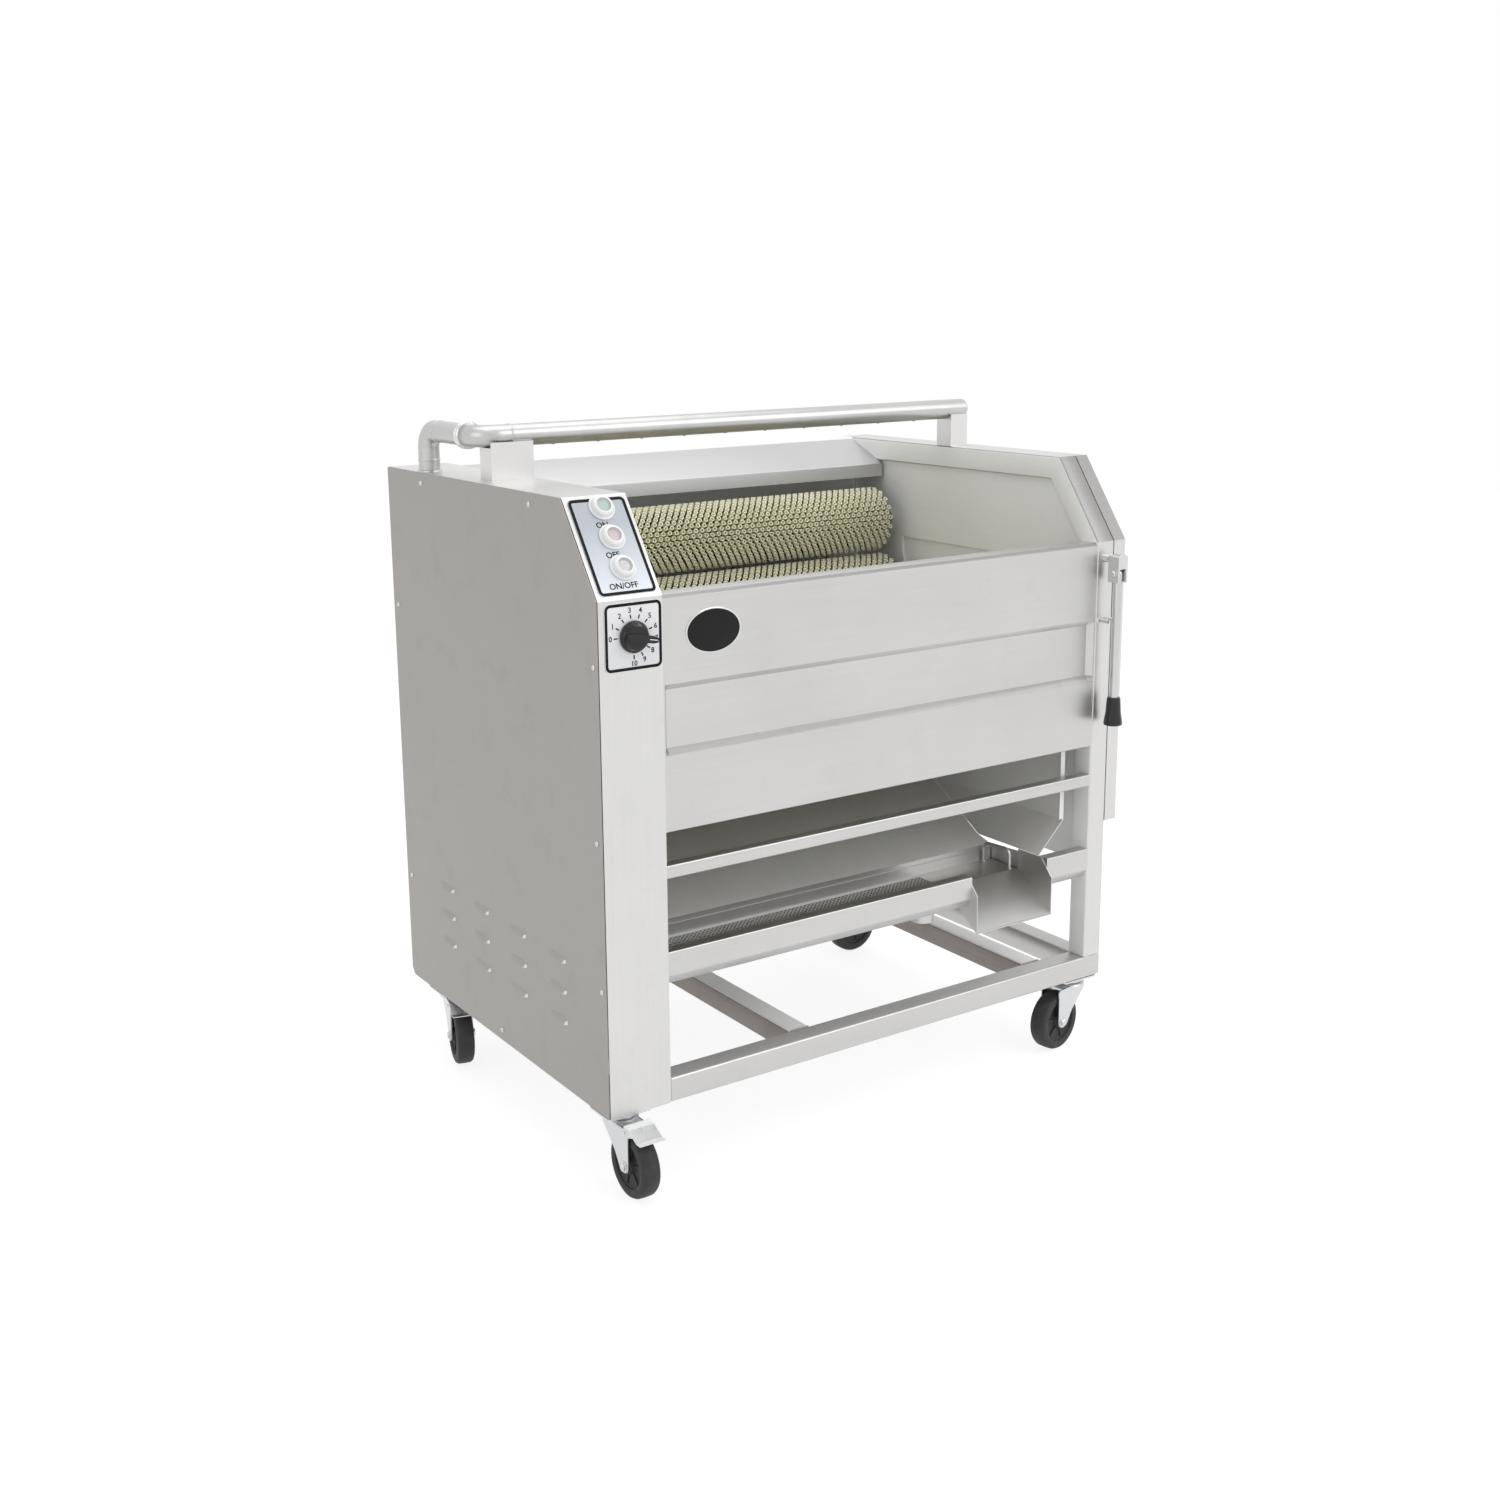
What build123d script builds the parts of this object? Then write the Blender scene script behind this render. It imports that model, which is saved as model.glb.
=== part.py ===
from build123d import *
import math
import os

# Brush-roller potato peeler on castors, in millimetres.
# Machine frame: x = 0 is the louvred side sheet, y = 0 the front face, z = 0 the floor.
# At the end every piece is shifted so that the origin is the bottom centre of the whole machine.

# ---- Driving dimensions: body and frame ----
BODY_WIDTH = 976.0
BODY_DEPTH = 688.0
BODY_TOP = 1008.0
CONTROL_FACE_RUN = 93.8
CONTROL_FACE_RISE = 132.2
TUBE = 38.0
TUBE_WALL = 1.5
SHEET = 1.5
PLATE = 4.0
HOUSING_WIDTH = 104.0
CROSS_MEMBER_XS = (344.6, BODY_WIDTH - 144.4)
HOUSING_FLANGE = 25.0
PANEL_SCREW_PLACES = (
    (BODY_DEPTH - 132, BODY_TOP - 17),
    (187, BODY_TOP - 17),
    (BODY_DEPTH - 19, BODY_TOP - 228),
    (12, BODY_TOP - 224),
    (BODY_DEPTH - 19, 307),
    (15, 533),
    (12, 314),
    (BODY_DEPTH - 349, 140),
)
PANEL_SCREW_RADIUS = 4.0
PANEL_SCREW_HEAD = 2.4
PANEL_SCREW_CROWN = 2.4
PANEL_SCREW_LENGTH = 8.0
LOUVRE_COLUMNS = 4
LOUVRE_ROWS = 3
LOUVRE_LENGTH = 54.0
LOUVRE_HEIGHT = 10.0
LOUVRE_DEPTH = 4.5
LOUVRE_PITCH_Y = 126.7
LOUVRE_PITCH_Z = 48.0
LOUVRE_FIRST_Y = 118.0
LOUVRE_FIRST_Z = 226.0

# ---- Driving dimensions: trough, brushes and drive ----
TROUGH_CENTRE = (BODY_DEPTH / 2 - 31, BODY_TOP - 150)
TROUGH_RADIUS = BODY_DEPTH / 2 - 108
ROLLER_COUNT = 6
ROLLER_STEP = 30.46
ROLLER_PITCH = 2 * TROUGH_RADIUS * math.sin(math.radians(ROLLER_STEP / 2))
REAR_ROLLER_ANGLE = 91.4
BRUSH_CLEARANCE = 2.8
BRUSH_RADIUS = ROLLER_PITCH / 2 - BRUSH_CLEARANCE
BRUSH_LENGTH = BODY_WIDTH - 176
BRUSH_GAP = 4.0
SHAFT_RADIUS = 10.0
BEARING_RADIUS = 24.0
BEARING_WIDTH = 12.0
RUNNING_FIT = 0.05
HOLE_CLEARANCE = 2.0
FACE_GAP = 0.3
SPROCKET_TEETH = 12
DRIVE_SPROCKET_TEETH = 12
CHAIN_PITCH = 12.7
SPROCKET_WIDTH = 5.0
SPROCKET_SPACING = 12.0
CHAIN_THICKNESS = 6.0
GEARBOX_CENTRE = (TROUGH_CENTRE[0], 430.0)
GEARBOX_SIZE = (44.0, 100.0, 116.0)
MOTOR_RADIUS = 40.0
MOTOR_LENGTH = 200.0
INVERTER_SIZE = (76.0, 100.0, 150.0)
INVERTER_GAP = 50.0

# ---- Driving dimensions: discharge end ----
END_PANEL_RECESS = 7.0
END_PANEL_SHEET = 3.0
DISCHARGE_TOP = BODY_TOP - 176
DISCHARGE_FRONT = TROUGH_CENTRE[0] - 86
DISCHARGE_REAR = TROUGH_CENTRE[0] + TROUGH_RADIUS - 44
DISCHARGE_RADIUS = TROUGH_RADIUS - 36
GATE_LAP = 4.0
GATE_SHEET = 2.0
GATE_SHAFT_RADIUS = 6.0
GATE_SHAFT_HEIGHT = DISCHARGE_TOP + 16
COVER_DEPTH = 25.0
COVER_BOTTOM = 398.0
LEVER_REACH = 29.0
LEVER_PIVOT_DROP = 22.0
LEVER_ROD_RADIUS = 7.0
LEVER_GRIP_TOP = GATE_SHAFT_HEIGHT - 227.3
LEVER_GRIP_BOTTOM = GATE_SHAFT_HEIGHT - 274.5
LEVER_GRIP_RADII = (11.0, 15.5)
LEVER_GRIP_ROUND = 3.0
LEVER_HUB_TOP = GATE_SHAFT_HEIGHT + 10
LEVER_HUB_BOTTOM = GATE_SHAFT_HEIGHT - 36
LEVER_HUB_SIZE = 26.0
LEVER_HUB_ROUND = 9.0
LEVER_BOLT_RADIUS = 3.0
LEVER_NUT_ROUND = 4.8
PRONG_HEIGHT = GATE_SHAFT_HEIGHT - 101.5
PRONG_RADIUS = 3.0

# ---- Driving dimensions: front and waste gutter ----
FRONT_PANEL_BOTTOM = 533.6
FRONT_PANEL_TOP = BODY_TOP - 133
FRONT_LIP_DEPTH = 37.0
FRONT_LIP_BEVEL = 5.0
FRONT_RETURN = 15.0
RECESS_BOTTOM = FRONT_PANEL_TOP - 229.5
RECESS_TOP = FRONT_PANEL_TOP - 127
RECESS_DEPTH = 9.0
MID_RAIL = 20.0
MID_RAIL_BOTTOM = 464.5
GUTTER_TOP = 354.6
GUTTER_BEVEL_TOP = 318.4
GUTTER_FLOOR = 304.0
GUTTER_DEPTH = 140.0
GUTTER_REAR_TOP = 346.0
GUTTER_RETURN = 20.0
GUTTER_BEVEL = 9.0
GUTTER_END = BODY_WIDTH - 131
SPOUT_LEFT = GUTTER_END - 164
SPOUT_REAR = 68.0
SPOUT_LIP = (-13.0, 262.0)
SPOUT_FLOOR_HEIGHT = 320.0
SPOUT_WALL_FRONT = 325.0
SIEVE_HEIGHT = 320.0
SIEVE_FRONT = 24.0
SIEVE_UPSTAND = 338.0
SIEVE_SLOT = (30.0, 4.0)
SIEVE_SLOT_PITCH = (40.0, 16.0)
SIEVE_GAP = 2.0
HANDLE_X = GUTTER_END - 19
HANDLE_YS = (80.0, 128.0)
HANDLE_HEIGHT = 27.0
HANDLE_RADIUS = 3.0
HOPPER_SLOPE = 0.28
HOPPER_SIDE_TOP = (BODY_WIDTH - 76, 407.0)
HOPPER_WALL_TOP = 560.0
HOPPER_FLANGE = 8.0
DRAIN_CENTRE = (SPOUT_LEFT - 41, 75.0)
DRAIN_RADIUS = 19.0
DRAIN_LENGTH = 36.0

# ---- Driving dimensions: rear cover and spray pipe ----
REAR_COVER_LIP_Y = BODY_DEPTH - 128
REAR_COVER_LIP_Z = BODY_TOP - 43
REAR_COVER_LIP_DROP = 24.0
REAR_COVER_TOP_DROP = 3.0
PIPE_RADIUS = 17.0
PIPE_WALL = 2.0
PIPE_Y = BODY_DEPTH - 303
PIPE_BEND = 30.0
LEG_X = 25.0
LEG_Y = BODY_DEPTH - 113
UNION_Y = PIPE_Y + 45
UNION_RADIUS = 21.5
UNION_LENGTH = 14.0
BRACKET_HEIGHT = 48.0
BRACKET_DEPTH = 38.0
LEFT_BRACKET_X = (32.0, 104.0)
SPRAY_HOLES = 10
SPRAY_HOLE_RADIUS = 1.5
END_PLUG_LENGTH = 6.0

# ---- Driving dimensions: controls ----
CONTROL_PLATE_X = (8.0, 99.0)
CONTROL_PLATE_S = (6.0, 157.0)
CONTROL_PLATE_CORNER = 3.0
NAME_PLATE_SHEET = 1.0
BUTTON_X = 58.0
BUTTON_S = (46.6, 94.4, 141.5)
BUTTON_CAP_RADIUS = 9.6
BUTTON_CAP_TOP = 7.0
BUTTON_CAP_BOTTOM = -6.0
BUTTON_CAP_ROUND = 1.5
BUTTON_STEM_RADIUS = 4.0
BUTTON_STEM_END = -20.0
BUTTON_BEZEL_RADIUS = 14.0
BUTTON_BEZEL_HEIGHT = 4.0
BUTTON_NECK_RADIUS = 11.0
BUTTON_NECK_END = -12.0
BUTTON_BOOT_RADIUS = 20.0
BUTTON_BOOT_OUTSIDE = ((20.0, 3.0), (17.0, 5.0), (15.5, 9.0), (12.0, 10.6), (0.0, 11.0))
BUTTON_BOOT_INSIDE = ((0.0, 8.0), (11.0, 8.0))
BUTTON_BOOT_STEP = 6.0
SWITCH_BLOCK = 28.0
SWITCH_STEM_BORE_END = -26.0
DIAL_PLATE_X = (11.0, 102.6)
DIAL_PLATE_Z = (BODY_TOP - 232.5, BODY_TOP - 137)
DIAL_PLATE_CORNER = 8.0
KNOB_CENTRE = (57.0, BODY_TOP - 185.4)
KNOB_RADIUS = 22.5
KNOB_BARREL_RADII = (19.35, 15.75)
KNOB_SKIRT = 5.0
KNOB_DEPTH = 20.0
KNOB_POINTER = 30.0
KNOB_POINTER_TAIL = 6.0
KNOB_POINTER_ARROW = 8.0
KNOB_POINTER_HALF = 4.0
KNOB_POINTER_HEIGHT = 12.0
KNOB_POINTER_TURN = -10.5
KNOB_SHAFT_RADIUS = 3.0
KNOB_SHAFT_END = 12.0
RESISTOR_RADIUS = 14.0
RESISTOR_DEPTH = 22.0
BADGE_CENTRE = (188.0, BODY_TOP - 191)
BADGE_SIZE = (94.0, 65.0)

# ---- Driving dimensions: castors ----
CASTOR_HEIGHT = 122.0
WHEEL_RADIUS = 50.0
WHEEL_WIDTH = 30.0
CASTOR_TRAIL = 40.0
CASTOR_INSETS = (36.0, 42.0)
CASTOR_FRONT_Y = 31.0
CASTOR_REAR_Y = BODY_DEPTH - 96
CASTOR_PLATE = (72.0, 60.0, 3.0)
CASTOR_RACE_RADIUS = 24.0
CASTOR_RACE_TAPER = 4.0
CASTOR_RACE_HEIGHT = 11.0
FORK_CROWN = 4.0
FORK_CROWN_LAP = 3.0
KINGPIN_RADIUS = 6.0
AXLE_RADIUS = 4.0
FORK_SHEET = 2.5
FORK_SIDE_GAP = 2.0
FORK_REACH = 20.0
FORK_LEG_FRONT = ((20, -8), (-20, -47), (-30, -67))
FORK_LEG_END = ((-9, -8), (-11, 0))
PEDAL_BOSS = (5.0, 3.0)
AXLE_NUT = (7.0, 4.0)
KINGPIN_HEAD = (9.0, 3.0)
WHEEL_HUB_RADIUS = 12.0
WHEEL_WEB = (14.0, 30.0, 6.0)
WHEEL_RIM_RADIUS = 33.0
WHEEL_SHOULDER = (5.0, 6.0)
PEDAL_PIN_RADIUS = 2.5
PEDAL_PIN_GAP = 3.5
PEDAL_PIN_SETBACK = 6.0
PEDAL_TREAD = ((2, 8), (-12, 6.5), (-34, -5), (-44, -5))
PEDAL_CHEEK = ((2, 8), (-12, 6.5), (-8, -5), (5, -5))
FORK_TURNS = {"front_left": 0.0, "front_right": -80.0, "rear_left": -14.7, "rear_right": -90.0}

# ---- Derived sizes ----
BASE_BOTTOM = CASTOR_HEIGHT
BASE_TOP = BASE_BOTTOM + TUBE
INNER_RIGHT = BODY_WIDTH - TUBE
INNER_REAR = BODY_DEPTH - TUBE
CONTROL_BEND_Z = BODY_TOP - CONTROL_FACE_RISE
CONTROL_ANGLE = math.atan2(CONTROL_FACE_RISE, CONTROL_FACE_RUN)
WALL_INSIDE = HOUSING_WIDTH - PLATE
BRUSH_LEFT = HOUSING_WIDTH + BRUSH_GAP
END_PANEL_LEFT = INNER_RIGHT + END_PANEL_RECESS
END_PANEL_RIGHT = END_PANEL_LEFT + END_PANEL_SHEET
CHAIN_PLANES = [WALL_INSIDE - BEARING_WIDTH - SPROCKET_SPACING * (n + 0.8) for n in range(3)]
GATE_LEFT = END_PANEL_RIGHT + FACE_GAP
GATE_AXIS_X = GATE_LEFT + GATE_SHEET + GATE_SHAFT_RADIUS + FACE_GAP
LEVER_PIVOT_Z = GATE_SHAFT_HEIGHT - LEVER_PIVOT_DROP
PIPE_Z = BODY_TOP + BRACKET_HEIGHT + PIPE_RADIUS
HOPPER_FRONT_Y = GUTTER_DEPTH + SHEET
HOPPER_FRONT_Z = GUTTER_REAR_TOP
MOTOR_BASE = GEARBOX_CENTRE[1] - GEARBOX_SIZE[2] / 2
FORK_TOP = CASTOR_HEIGHT - CASTOR_RACE_HEIGHT
FORK_BOTTOM = FORK_TOP - FORK_CROWN
FORK_HALF = WHEEL_WIDTH / 2 + FORK_SIDE_GAP + FORK_SHEET
PEDAL_PIN = (-CASTOR_TRAIL - PEDAL_PIN_SETBACK, 2 * WHEEL_RADIUS + PEDAL_PIN_RADIUS + PEDAL_PIN_GAP)
DRIVEN_ROLLER = ROLLER_COUNT // 2
CONTROL_PLANE = Plane(
    origin=(0, 0, CONTROL_BEND_Z),
    x_dir=(1, 0, 0),
    z_dir=(0, -math.sin(CONTROL_ANGLE), math.cos(CONTROL_ANGLE)),
)


# ---- Shape helpers ----
UPRIGHT = (Align.CENTER, Align.CENTER, Align.MIN)


def block(x0, x1, y0, y1, z0, z1):
    """A box given by its limits."""
    return Pos(x0, y0, z0) * Box(x1 - x0, y1 - y0, z1 - z0, align=(Align.MIN,) * 3)


def rod(start, end, radius, end_radius=None):
    """A round bar, or a taper, from one point to another."""
    way = Vector(*end) - Vector(*start)
    place = Plane(start, z_dir=way)
    if end_radius is None:
        return extrude(place * Circle(radius), way.length)
    return place * Cone(radius, end_radius, way.length, align=UPRIGHT)


def prism_x(points, x0, x1):
    """An outline of (y, z) points, run from x0 to x1."""
    return extrude(Plane.YZ.offset(x0) * Polygon(*points, align=None), x1 - x0, dir=(1, 0, 0))


def prism_y(points, y0, y1):
    """An outline of (x, z) points, run from y0 to y1."""
    return extrude(Plane.XZ.offset(-y0) * Polygon(*points, align=None), y1 - y0, dir=(0, 1, 0))


def bent_strip(points, thickness):
    """The closed outline of a bent sheet whose left-hand face follows the points."""
    count = len(points)
    ways = [Vector(*points[i + 1]) - Vector(*points[i]) for i in range(count - 1)]
    normals = [Vector(way.Y, -way.X).normalized() for way in ways]
    inner = []
    for i, point in enumerate(points):
        before = normals[max(i - 1, 0)]
        after = normals[min(i, count - 2)]
        bisector = before + after
        offset = bisector * (2 * thickness / bisector.dot(bisector))
        inner.append((point[0] + offset.X, point[1] + offset.Y))
    return [*points, *reversed(inner)]


def end_outline(inset, bottom):
    """The machine's side outline in (y, z), moved inwards by inset."""
    sine, cosine = math.sin(CONTROL_ANGLE), math.cos(CONTROL_ANGLE)
    bend_z = CONTROL_BEND_Z - inset * (1 - sine) / cosine
    top_y = (inset + (CONTROL_FACE_RISE - inset) * cosine) / sine
    top_z = BODY_TOP - inset
    rear_y = BODY_DEPTH - inset
    return [(inset, bottom), (inset, bend_z), (top_y, top_z), (rear_y, top_z), (rear_y, bottom)]


def square_tube(x0, x1, y0, y1, z0, z1, run):
    """A square tube open at both ends of its run, which is 0 for x and 1 for y."""
    grow = [TUBE_WALL] * 3
    grow[run] = -TUBE_WALL
    bore = block(x0 + grow[0], x1 - grow[0], y0 + grow[1], y1 - grow[1], z0 + grow[2], z1 - grow[2])
    return block(x0, x1, y0, y1, z0, z1) - bore


def roller_centres():
    """The (y, z) of each brush roller, from the rear one down and up to the front one."""
    angles = [math.radians(REAR_ROLLER_ANGLE - ROLLER_STEP * n) for n in range(ROLLER_COUNT)]
    cy, cz = TROUGH_CENTRE
    return [(cy + TROUGH_RADIUS * math.sin(a), cz - TROUGH_RADIUS * math.cos(a)) for a in angles]


# ---- Frame ----
def long_base_rail(y0):
    """A base rail along x with its right end closed."""
    rail = square_tube(HOUSING_WIDTH, BODY_WIDTH, y0, y0 + TUBE, BASE_BOTTOM, BASE_TOP, 0)
    cap = block(BODY_WIDTH - TUBE_WALL, BODY_WIDTH, y0, y0 + TUBE, BASE_BOTTOM, BASE_TOP)
    return rail + cap


def left_base_rail():
    front, rear = SHEET, BODY_DEPTH - SHEET
    return square_tube(SHEET, SHEET + TUBE, front, rear, BASE_BOTTOM, BASE_TOP, 1) - screw_holes()


def right_base_rail():
    return square_tube(INNER_RIGHT, BODY_WIDTH, TUBE, INNER_REAR, BASE_BOTTOM, BASE_TOP, 1)


def cross_members():
    """Two tubes from the front base rail to the rear one."""
    return [square_tube(x, x + TUBE, TUBE, INNER_REAR, BASE_BOTTOM, BASE_TOP, 1) for x in CROSS_MEMBER_XS]


def right_end_frame():
    """Front post, slanted corner, top rail and rear post welded as one hollow hoop."""
    outer = prism_x(end_outline(0, BASE_TOP), INNER_RIGHT, BODY_WIDTH)
    window = prism_x(end_outline(TUBE, BASE_TOP), INNER_RIGHT, BODY_WIDTH)
    hollow_x = (INNER_RIGHT + TUBE_WALL, BODY_WIDTH - TUBE_WALL)
    hollow = prism_x(end_outline(TUBE_WALL, BASE_TOP), *hollow_x)
    hollow -= prism_x(end_outline(TUBE - TUBE_WALL, BASE_TOP), *hollow_x)
    start, end = (GATE_AXIS_X, -1, GATE_SHAFT_HEIGHT), (GATE_AXIS_X, TUBE + 1, GATE_SHAFT_HEIGHT)
    return outer - window - hollow - rod(start, end, GATE_SHAFT_RADIUS + RUNNING_FIT)


def rear_top_rail():
    return square_tube(HOUSING_WIDTH, INNER_RIGHT, INNER_REAR, BODY_DEPTH, BODY_TOP - TUBE, BODY_TOP, 0)


# ---- Drive housing ----
def housing_shell():
    """The folded band that makes the housing's front, control face, top and back."""
    band = prism_x(end_outline(0, BASE_BOTTOM), SHEET, HOUSING_WIDTH)
    band -= prism_x(end_outline(SHEET, BASE_BOTTOM), SHEET, HOUSING_WIDTH)
    flange = prism_x(end_outline(0, BASE_TOP), SHEET, 2 * SHEET)
    flange -= prism_x(end_outline(HOUSING_FLANGE, BASE_TOP), SHEET, 2 * SHEET)
    band = band + flange - screw_holes()
    for place in button_places(-SHEET - 1):
        band -= place * Cylinder(BUTTON_NECK_RADIUS, SHEET + 2, align=UPRIGHT)
    knob_x, knob_z = KNOB_CENTRE
    band -= rod((knob_x, -1, knob_z), (knob_x, SHEET + 1, knob_z), KNOB_SHAFT_RADIUS + 1)
    return band - rod((LEG_X, LEG_Y, BODY_TOP - SHEET - 1), (LEG_X, LEG_Y, BODY_TOP + 1), PIPE_RADIUS)


def bearing_wall():
    """The plate between the drive housing and the trough."""
    wall = prism_x(end_outline(SHEET, BASE_BOTTOM), WALL_INSIDE, HOUSING_WIDTH)
    for y, z in roller_centres():
        wall -= rod((WALL_INSIDE - 1, y, z), (HOUSING_WIDTH + 1, y, z), SHAFT_RADIUS + HOLE_CLEARANCE)
    return wall + motor_shelf()


def louvre_places():
    """The (y, z) of the lower front corner of each louvre."""
    ys = [LOUVRE_FIRST_Y + LOUVRE_PITCH_Y * i for i in range(LOUVRE_COLUMNS)]
    zs = [LOUVRE_FIRST_Z + LOUVRE_PITCH_Z * j for j in range(LOUVRE_ROWS)]
    return [(y, z) for y in ys for z in zs]


def side_panel():
    """The removable side sheet with pressed louvres that open downwards."""
    panel = prism_x(end_outline(0, BASE_BOTTOM), 0, SHEET)
    panel -= screw_holes()
    for y, z in louvre_places():
        slot = (y + SHEET, y + LOUVRE_LENGTH - SHEET)
        panel -= block(-1, SHEET + 1, *slot, z, z + LOUVRE_HEIGHT / 2)
        hood = [(0, z + LOUVRE_HEIGHT), (-LOUVRE_DEPTH, z + SHEET), (-LOUVRE_DEPTH, z), (0, z)]
        inside = [(0, z + LOUVRE_HEIGHT - SHEET), (SHEET - LOUVRE_DEPTH, z + SHEET / 2)]
        inside += [(SHEET - LOUVRE_DEPTH, z), (0, z)]
        panel += prism_y(hood, y, y + LOUVRE_LENGTH) - prism_y(inside, *slot)
    return panel


def screw_holes():
    """The cutters of the holes for the side sheet's screws."""
    radius = PANEL_SCREW_RADIUS / 2 + RUNNING_FIT
    return [rod((-1, y, z), (PANEL_SCREW_LENGTH + 1, y, z), radius) for y, z in PANEL_SCREW_PLACES]


def panel_screws():
    """Button-head screws that hold the side sheet."""
    screws = []
    for y, z in PANEL_SCREW_PLACES:
        head = rod((0, y, z), (-PANEL_SCREW_HEAD, y, z), PANEL_SCREW_RADIUS, PANEL_SCREW_CROWN)
        screws.append(head + rod((0, y, z), (PANEL_SCREW_LENGTH, y, z), PANEL_SCREW_RADIUS / 2))
    return screws


# ---- Drive ----
def sprocket(centre, x_middle, teeth, bore):
    """A toothed disc about x, with four outline points for each tooth."""
    pitch_radius = CHAIN_PITCH / 2 / math.sin(math.pi / teeth)
    tip, root = pitch_radius + CHAIN_PITCH * 0.3, pitch_radius - CHAIN_PITCH * 0.3
    outline = []
    for n in range(teeth):
        for share, radius in ((-0.3, root), (-0.12, tip), (0.12, tip), (0.3, root)):
            angle = 2 * math.pi * (n + share) / teeth
            outline.append((centre[0] + radius * math.cos(angle), centre[1] + radius * math.sin(angle)))
    x0, x1 = x_middle - SPROCKET_WIDTH / 2, x_middle + SPROCKET_WIDTH / 2
    disc = prism_x(outline, x0, x1)
    return disc - rod((x0 - 1, *centre), (x1 + 1, *centre), bore) if bore else disc


def chain_loop(first, second, x_middle, teeth):
    """The band that a roller chain sweeps round two equal sprockets."""
    tip = CHAIN_PITCH / 2 / math.sin(math.pi / teeth) + CHAIN_PITCH * 0.3
    inner = tip + FACE_GAP
    middle = [(first[i] + second[i]) / 2 for i in (0, 1)]
    way = (second[0] - first[0], second[1] - first[1])
    length = math.hypot(*way)
    place = Plane.YZ.offset(x_middle - SPROCKET_WIDTH / 2) * Pos(*middle)
    place *= Rot(0, 0, math.degrees(math.atan2(way[1], way[0])))
    outer = inner + CHAIN_THICKNESS
    ring = SlotCenterToCenter(length, 2 * outer) - SlotCenterToCenter(length, 2 * inner)
    return extrude(place * ring, SPROCKET_WIDTH, dir=(1, 0, 0))


def roller_chains():
    """Chains from roller to roller in two planes, and one up from the gearbox."""
    centres = roller_centres()
    loops = []
    for n in range(ROLLER_COUNT - 1):
        loops.append(chain_loop(centres[n], centres[n + 1], CHAIN_PLANES[n % 2], SPROCKET_TEETH))
    loops.append(chain_loop(GEARBOX_CENTRE, centres[DRIVEN_ROLLER], CHAIN_PLANES[2], DRIVE_SPROCKET_TEETH))
    return loops


def brush_roller(index):
    """One roller: a steel shaft with its sprockets, and the brush sleeve on it."""
    y, z = roller_centres()[index]
    planes = CHAIN_PLANES if index == DRIVEN_ROLLER else CHAIN_PLANES[:2]
    shaft_left = planes[-1] - SPROCKET_WIDTH
    shaft = rod((shaft_left, y, z), (END_PANEL_RIGHT + BEARING_WIDTH, y, z), SHAFT_RADIUS)
    for plane in planes:
        shaft += sprocket((y, z), plane, SPROCKET_TEETH, 0)
    brush = rod((BRUSH_LEFT, y, z), (BRUSH_LEFT + BRUSH_LENGTH, y, z), BRUSH_RADIUS)
    brush -= rod((BRUSH_LEFT - 1, y, z), (BRUSH_LEFT + BRUSH_LENGTH + 1, y, z), SHAFT_RADIUS)
    return [shaft, brush]


def roller_bearings():
    """A bearing at each end of each roller, on the outer sides of the two end walls."""
    rings = []
    for y, z in roller_centres():
        for x in (WALL_INSIDE - BEARING_WIDTH, END_PANEL_RIGHT):
            ring = rod((x, y, z), (x + BEARING_WIDTH, y, z), BEARING_RADIUS)
            ring -= rod((x - 1, y, z), (x + BEARING_WIDTH + 1, y, z), SHAFT_RADIUS + RUNNING_FIT)
            rings.append(ring)
    return rings


def gear_motor():
    """A worm gearbox with its motor lying along y behind it."""
    width, depth, height = GEARBOX_SIZE
    y, z = GEARBOX_CENTRE
    left = CHAIN_PLANES[2] - SPROCKET_WIDTH - width
    box = block(left, left + width, y - depth / 2, y + depth / 2, z - height / 2, z + height / 2)
    box = fillet(box.edges().filter_by(Axis.X), TUBE / 4)
    box -= rod((left - 1, y, z), (left + width + 1, y, z), SHAFT_RADIUS + RUNNING_FIT)
    motor_x = SHEET + MOTOR_RADIUS + PLATE
    start, motor_z = y + depth / 2, MOTOR_BASE + MOTOR_RADIUS
    motor = rod((motor_x, start, motor_z), (motor_x, start + MOTOR_LENGTH, motor_z), MOTOR_RADIUS)
    return [box, motor]


def motor_shelf():
    """The shelf, welded to the bearing wall, that carries the gear motor."""
    y = GEARBOX_CENTRE[0]
    front, rear = y - GEARBOX_SIZE[1] / 2, y + GEARBOX_SIZE[1] / 2 + MOTOR_LENGTH
    return block(SHEET, WALL_INSIDE, front, rear, MOTOR_BASE - PLATE, MOTOR_BASE)


def drive_sprocket():
    """The gearbox's output shaft with the sprocket that drives the rollers."""
    x_middle = CHAIN_PLANES[2]
    left = x_middle - SPROCKET_WIDTH - GEARBOX_SIZE[0]
    y, z = GEARBOX_CENTRE
    shaft = rod((left, y, z), (x_middle + SPROCKET_WIDTH, y, z), SHAFT_RADIUS)
    return shaft + sprocket(GEARBOX_CENTRE, x_middle, DRIVE_SPROCKET_TEETH, 0)


def inverter():
    """The motor's speed controller on the bearing wall."""
    width, depth, height = INVERTER_SIZE
    rear = GEARBOX_CENTRE[0] - GEARBOX_SIZE[1] / 2 - INVERTER_GAP
    return block(WALL_INSIDE - width, WALL_INSIDE, rear - depth, rear, MOTOR_BASE, MOTOR_BASE + height)


# ---- Discharge end ----
def discharge_outline(x, radius, front, rear, top, depth):
    """The part of a round opening about the trough's centre between front, rear and top."""
    y, z = TROUGH_CENTRE
    disc = rod((x, y, z), (x + depth, y, z), radius)
    return disc & block(x, x + depth, front, rear, z - radius - 1, top)


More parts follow.
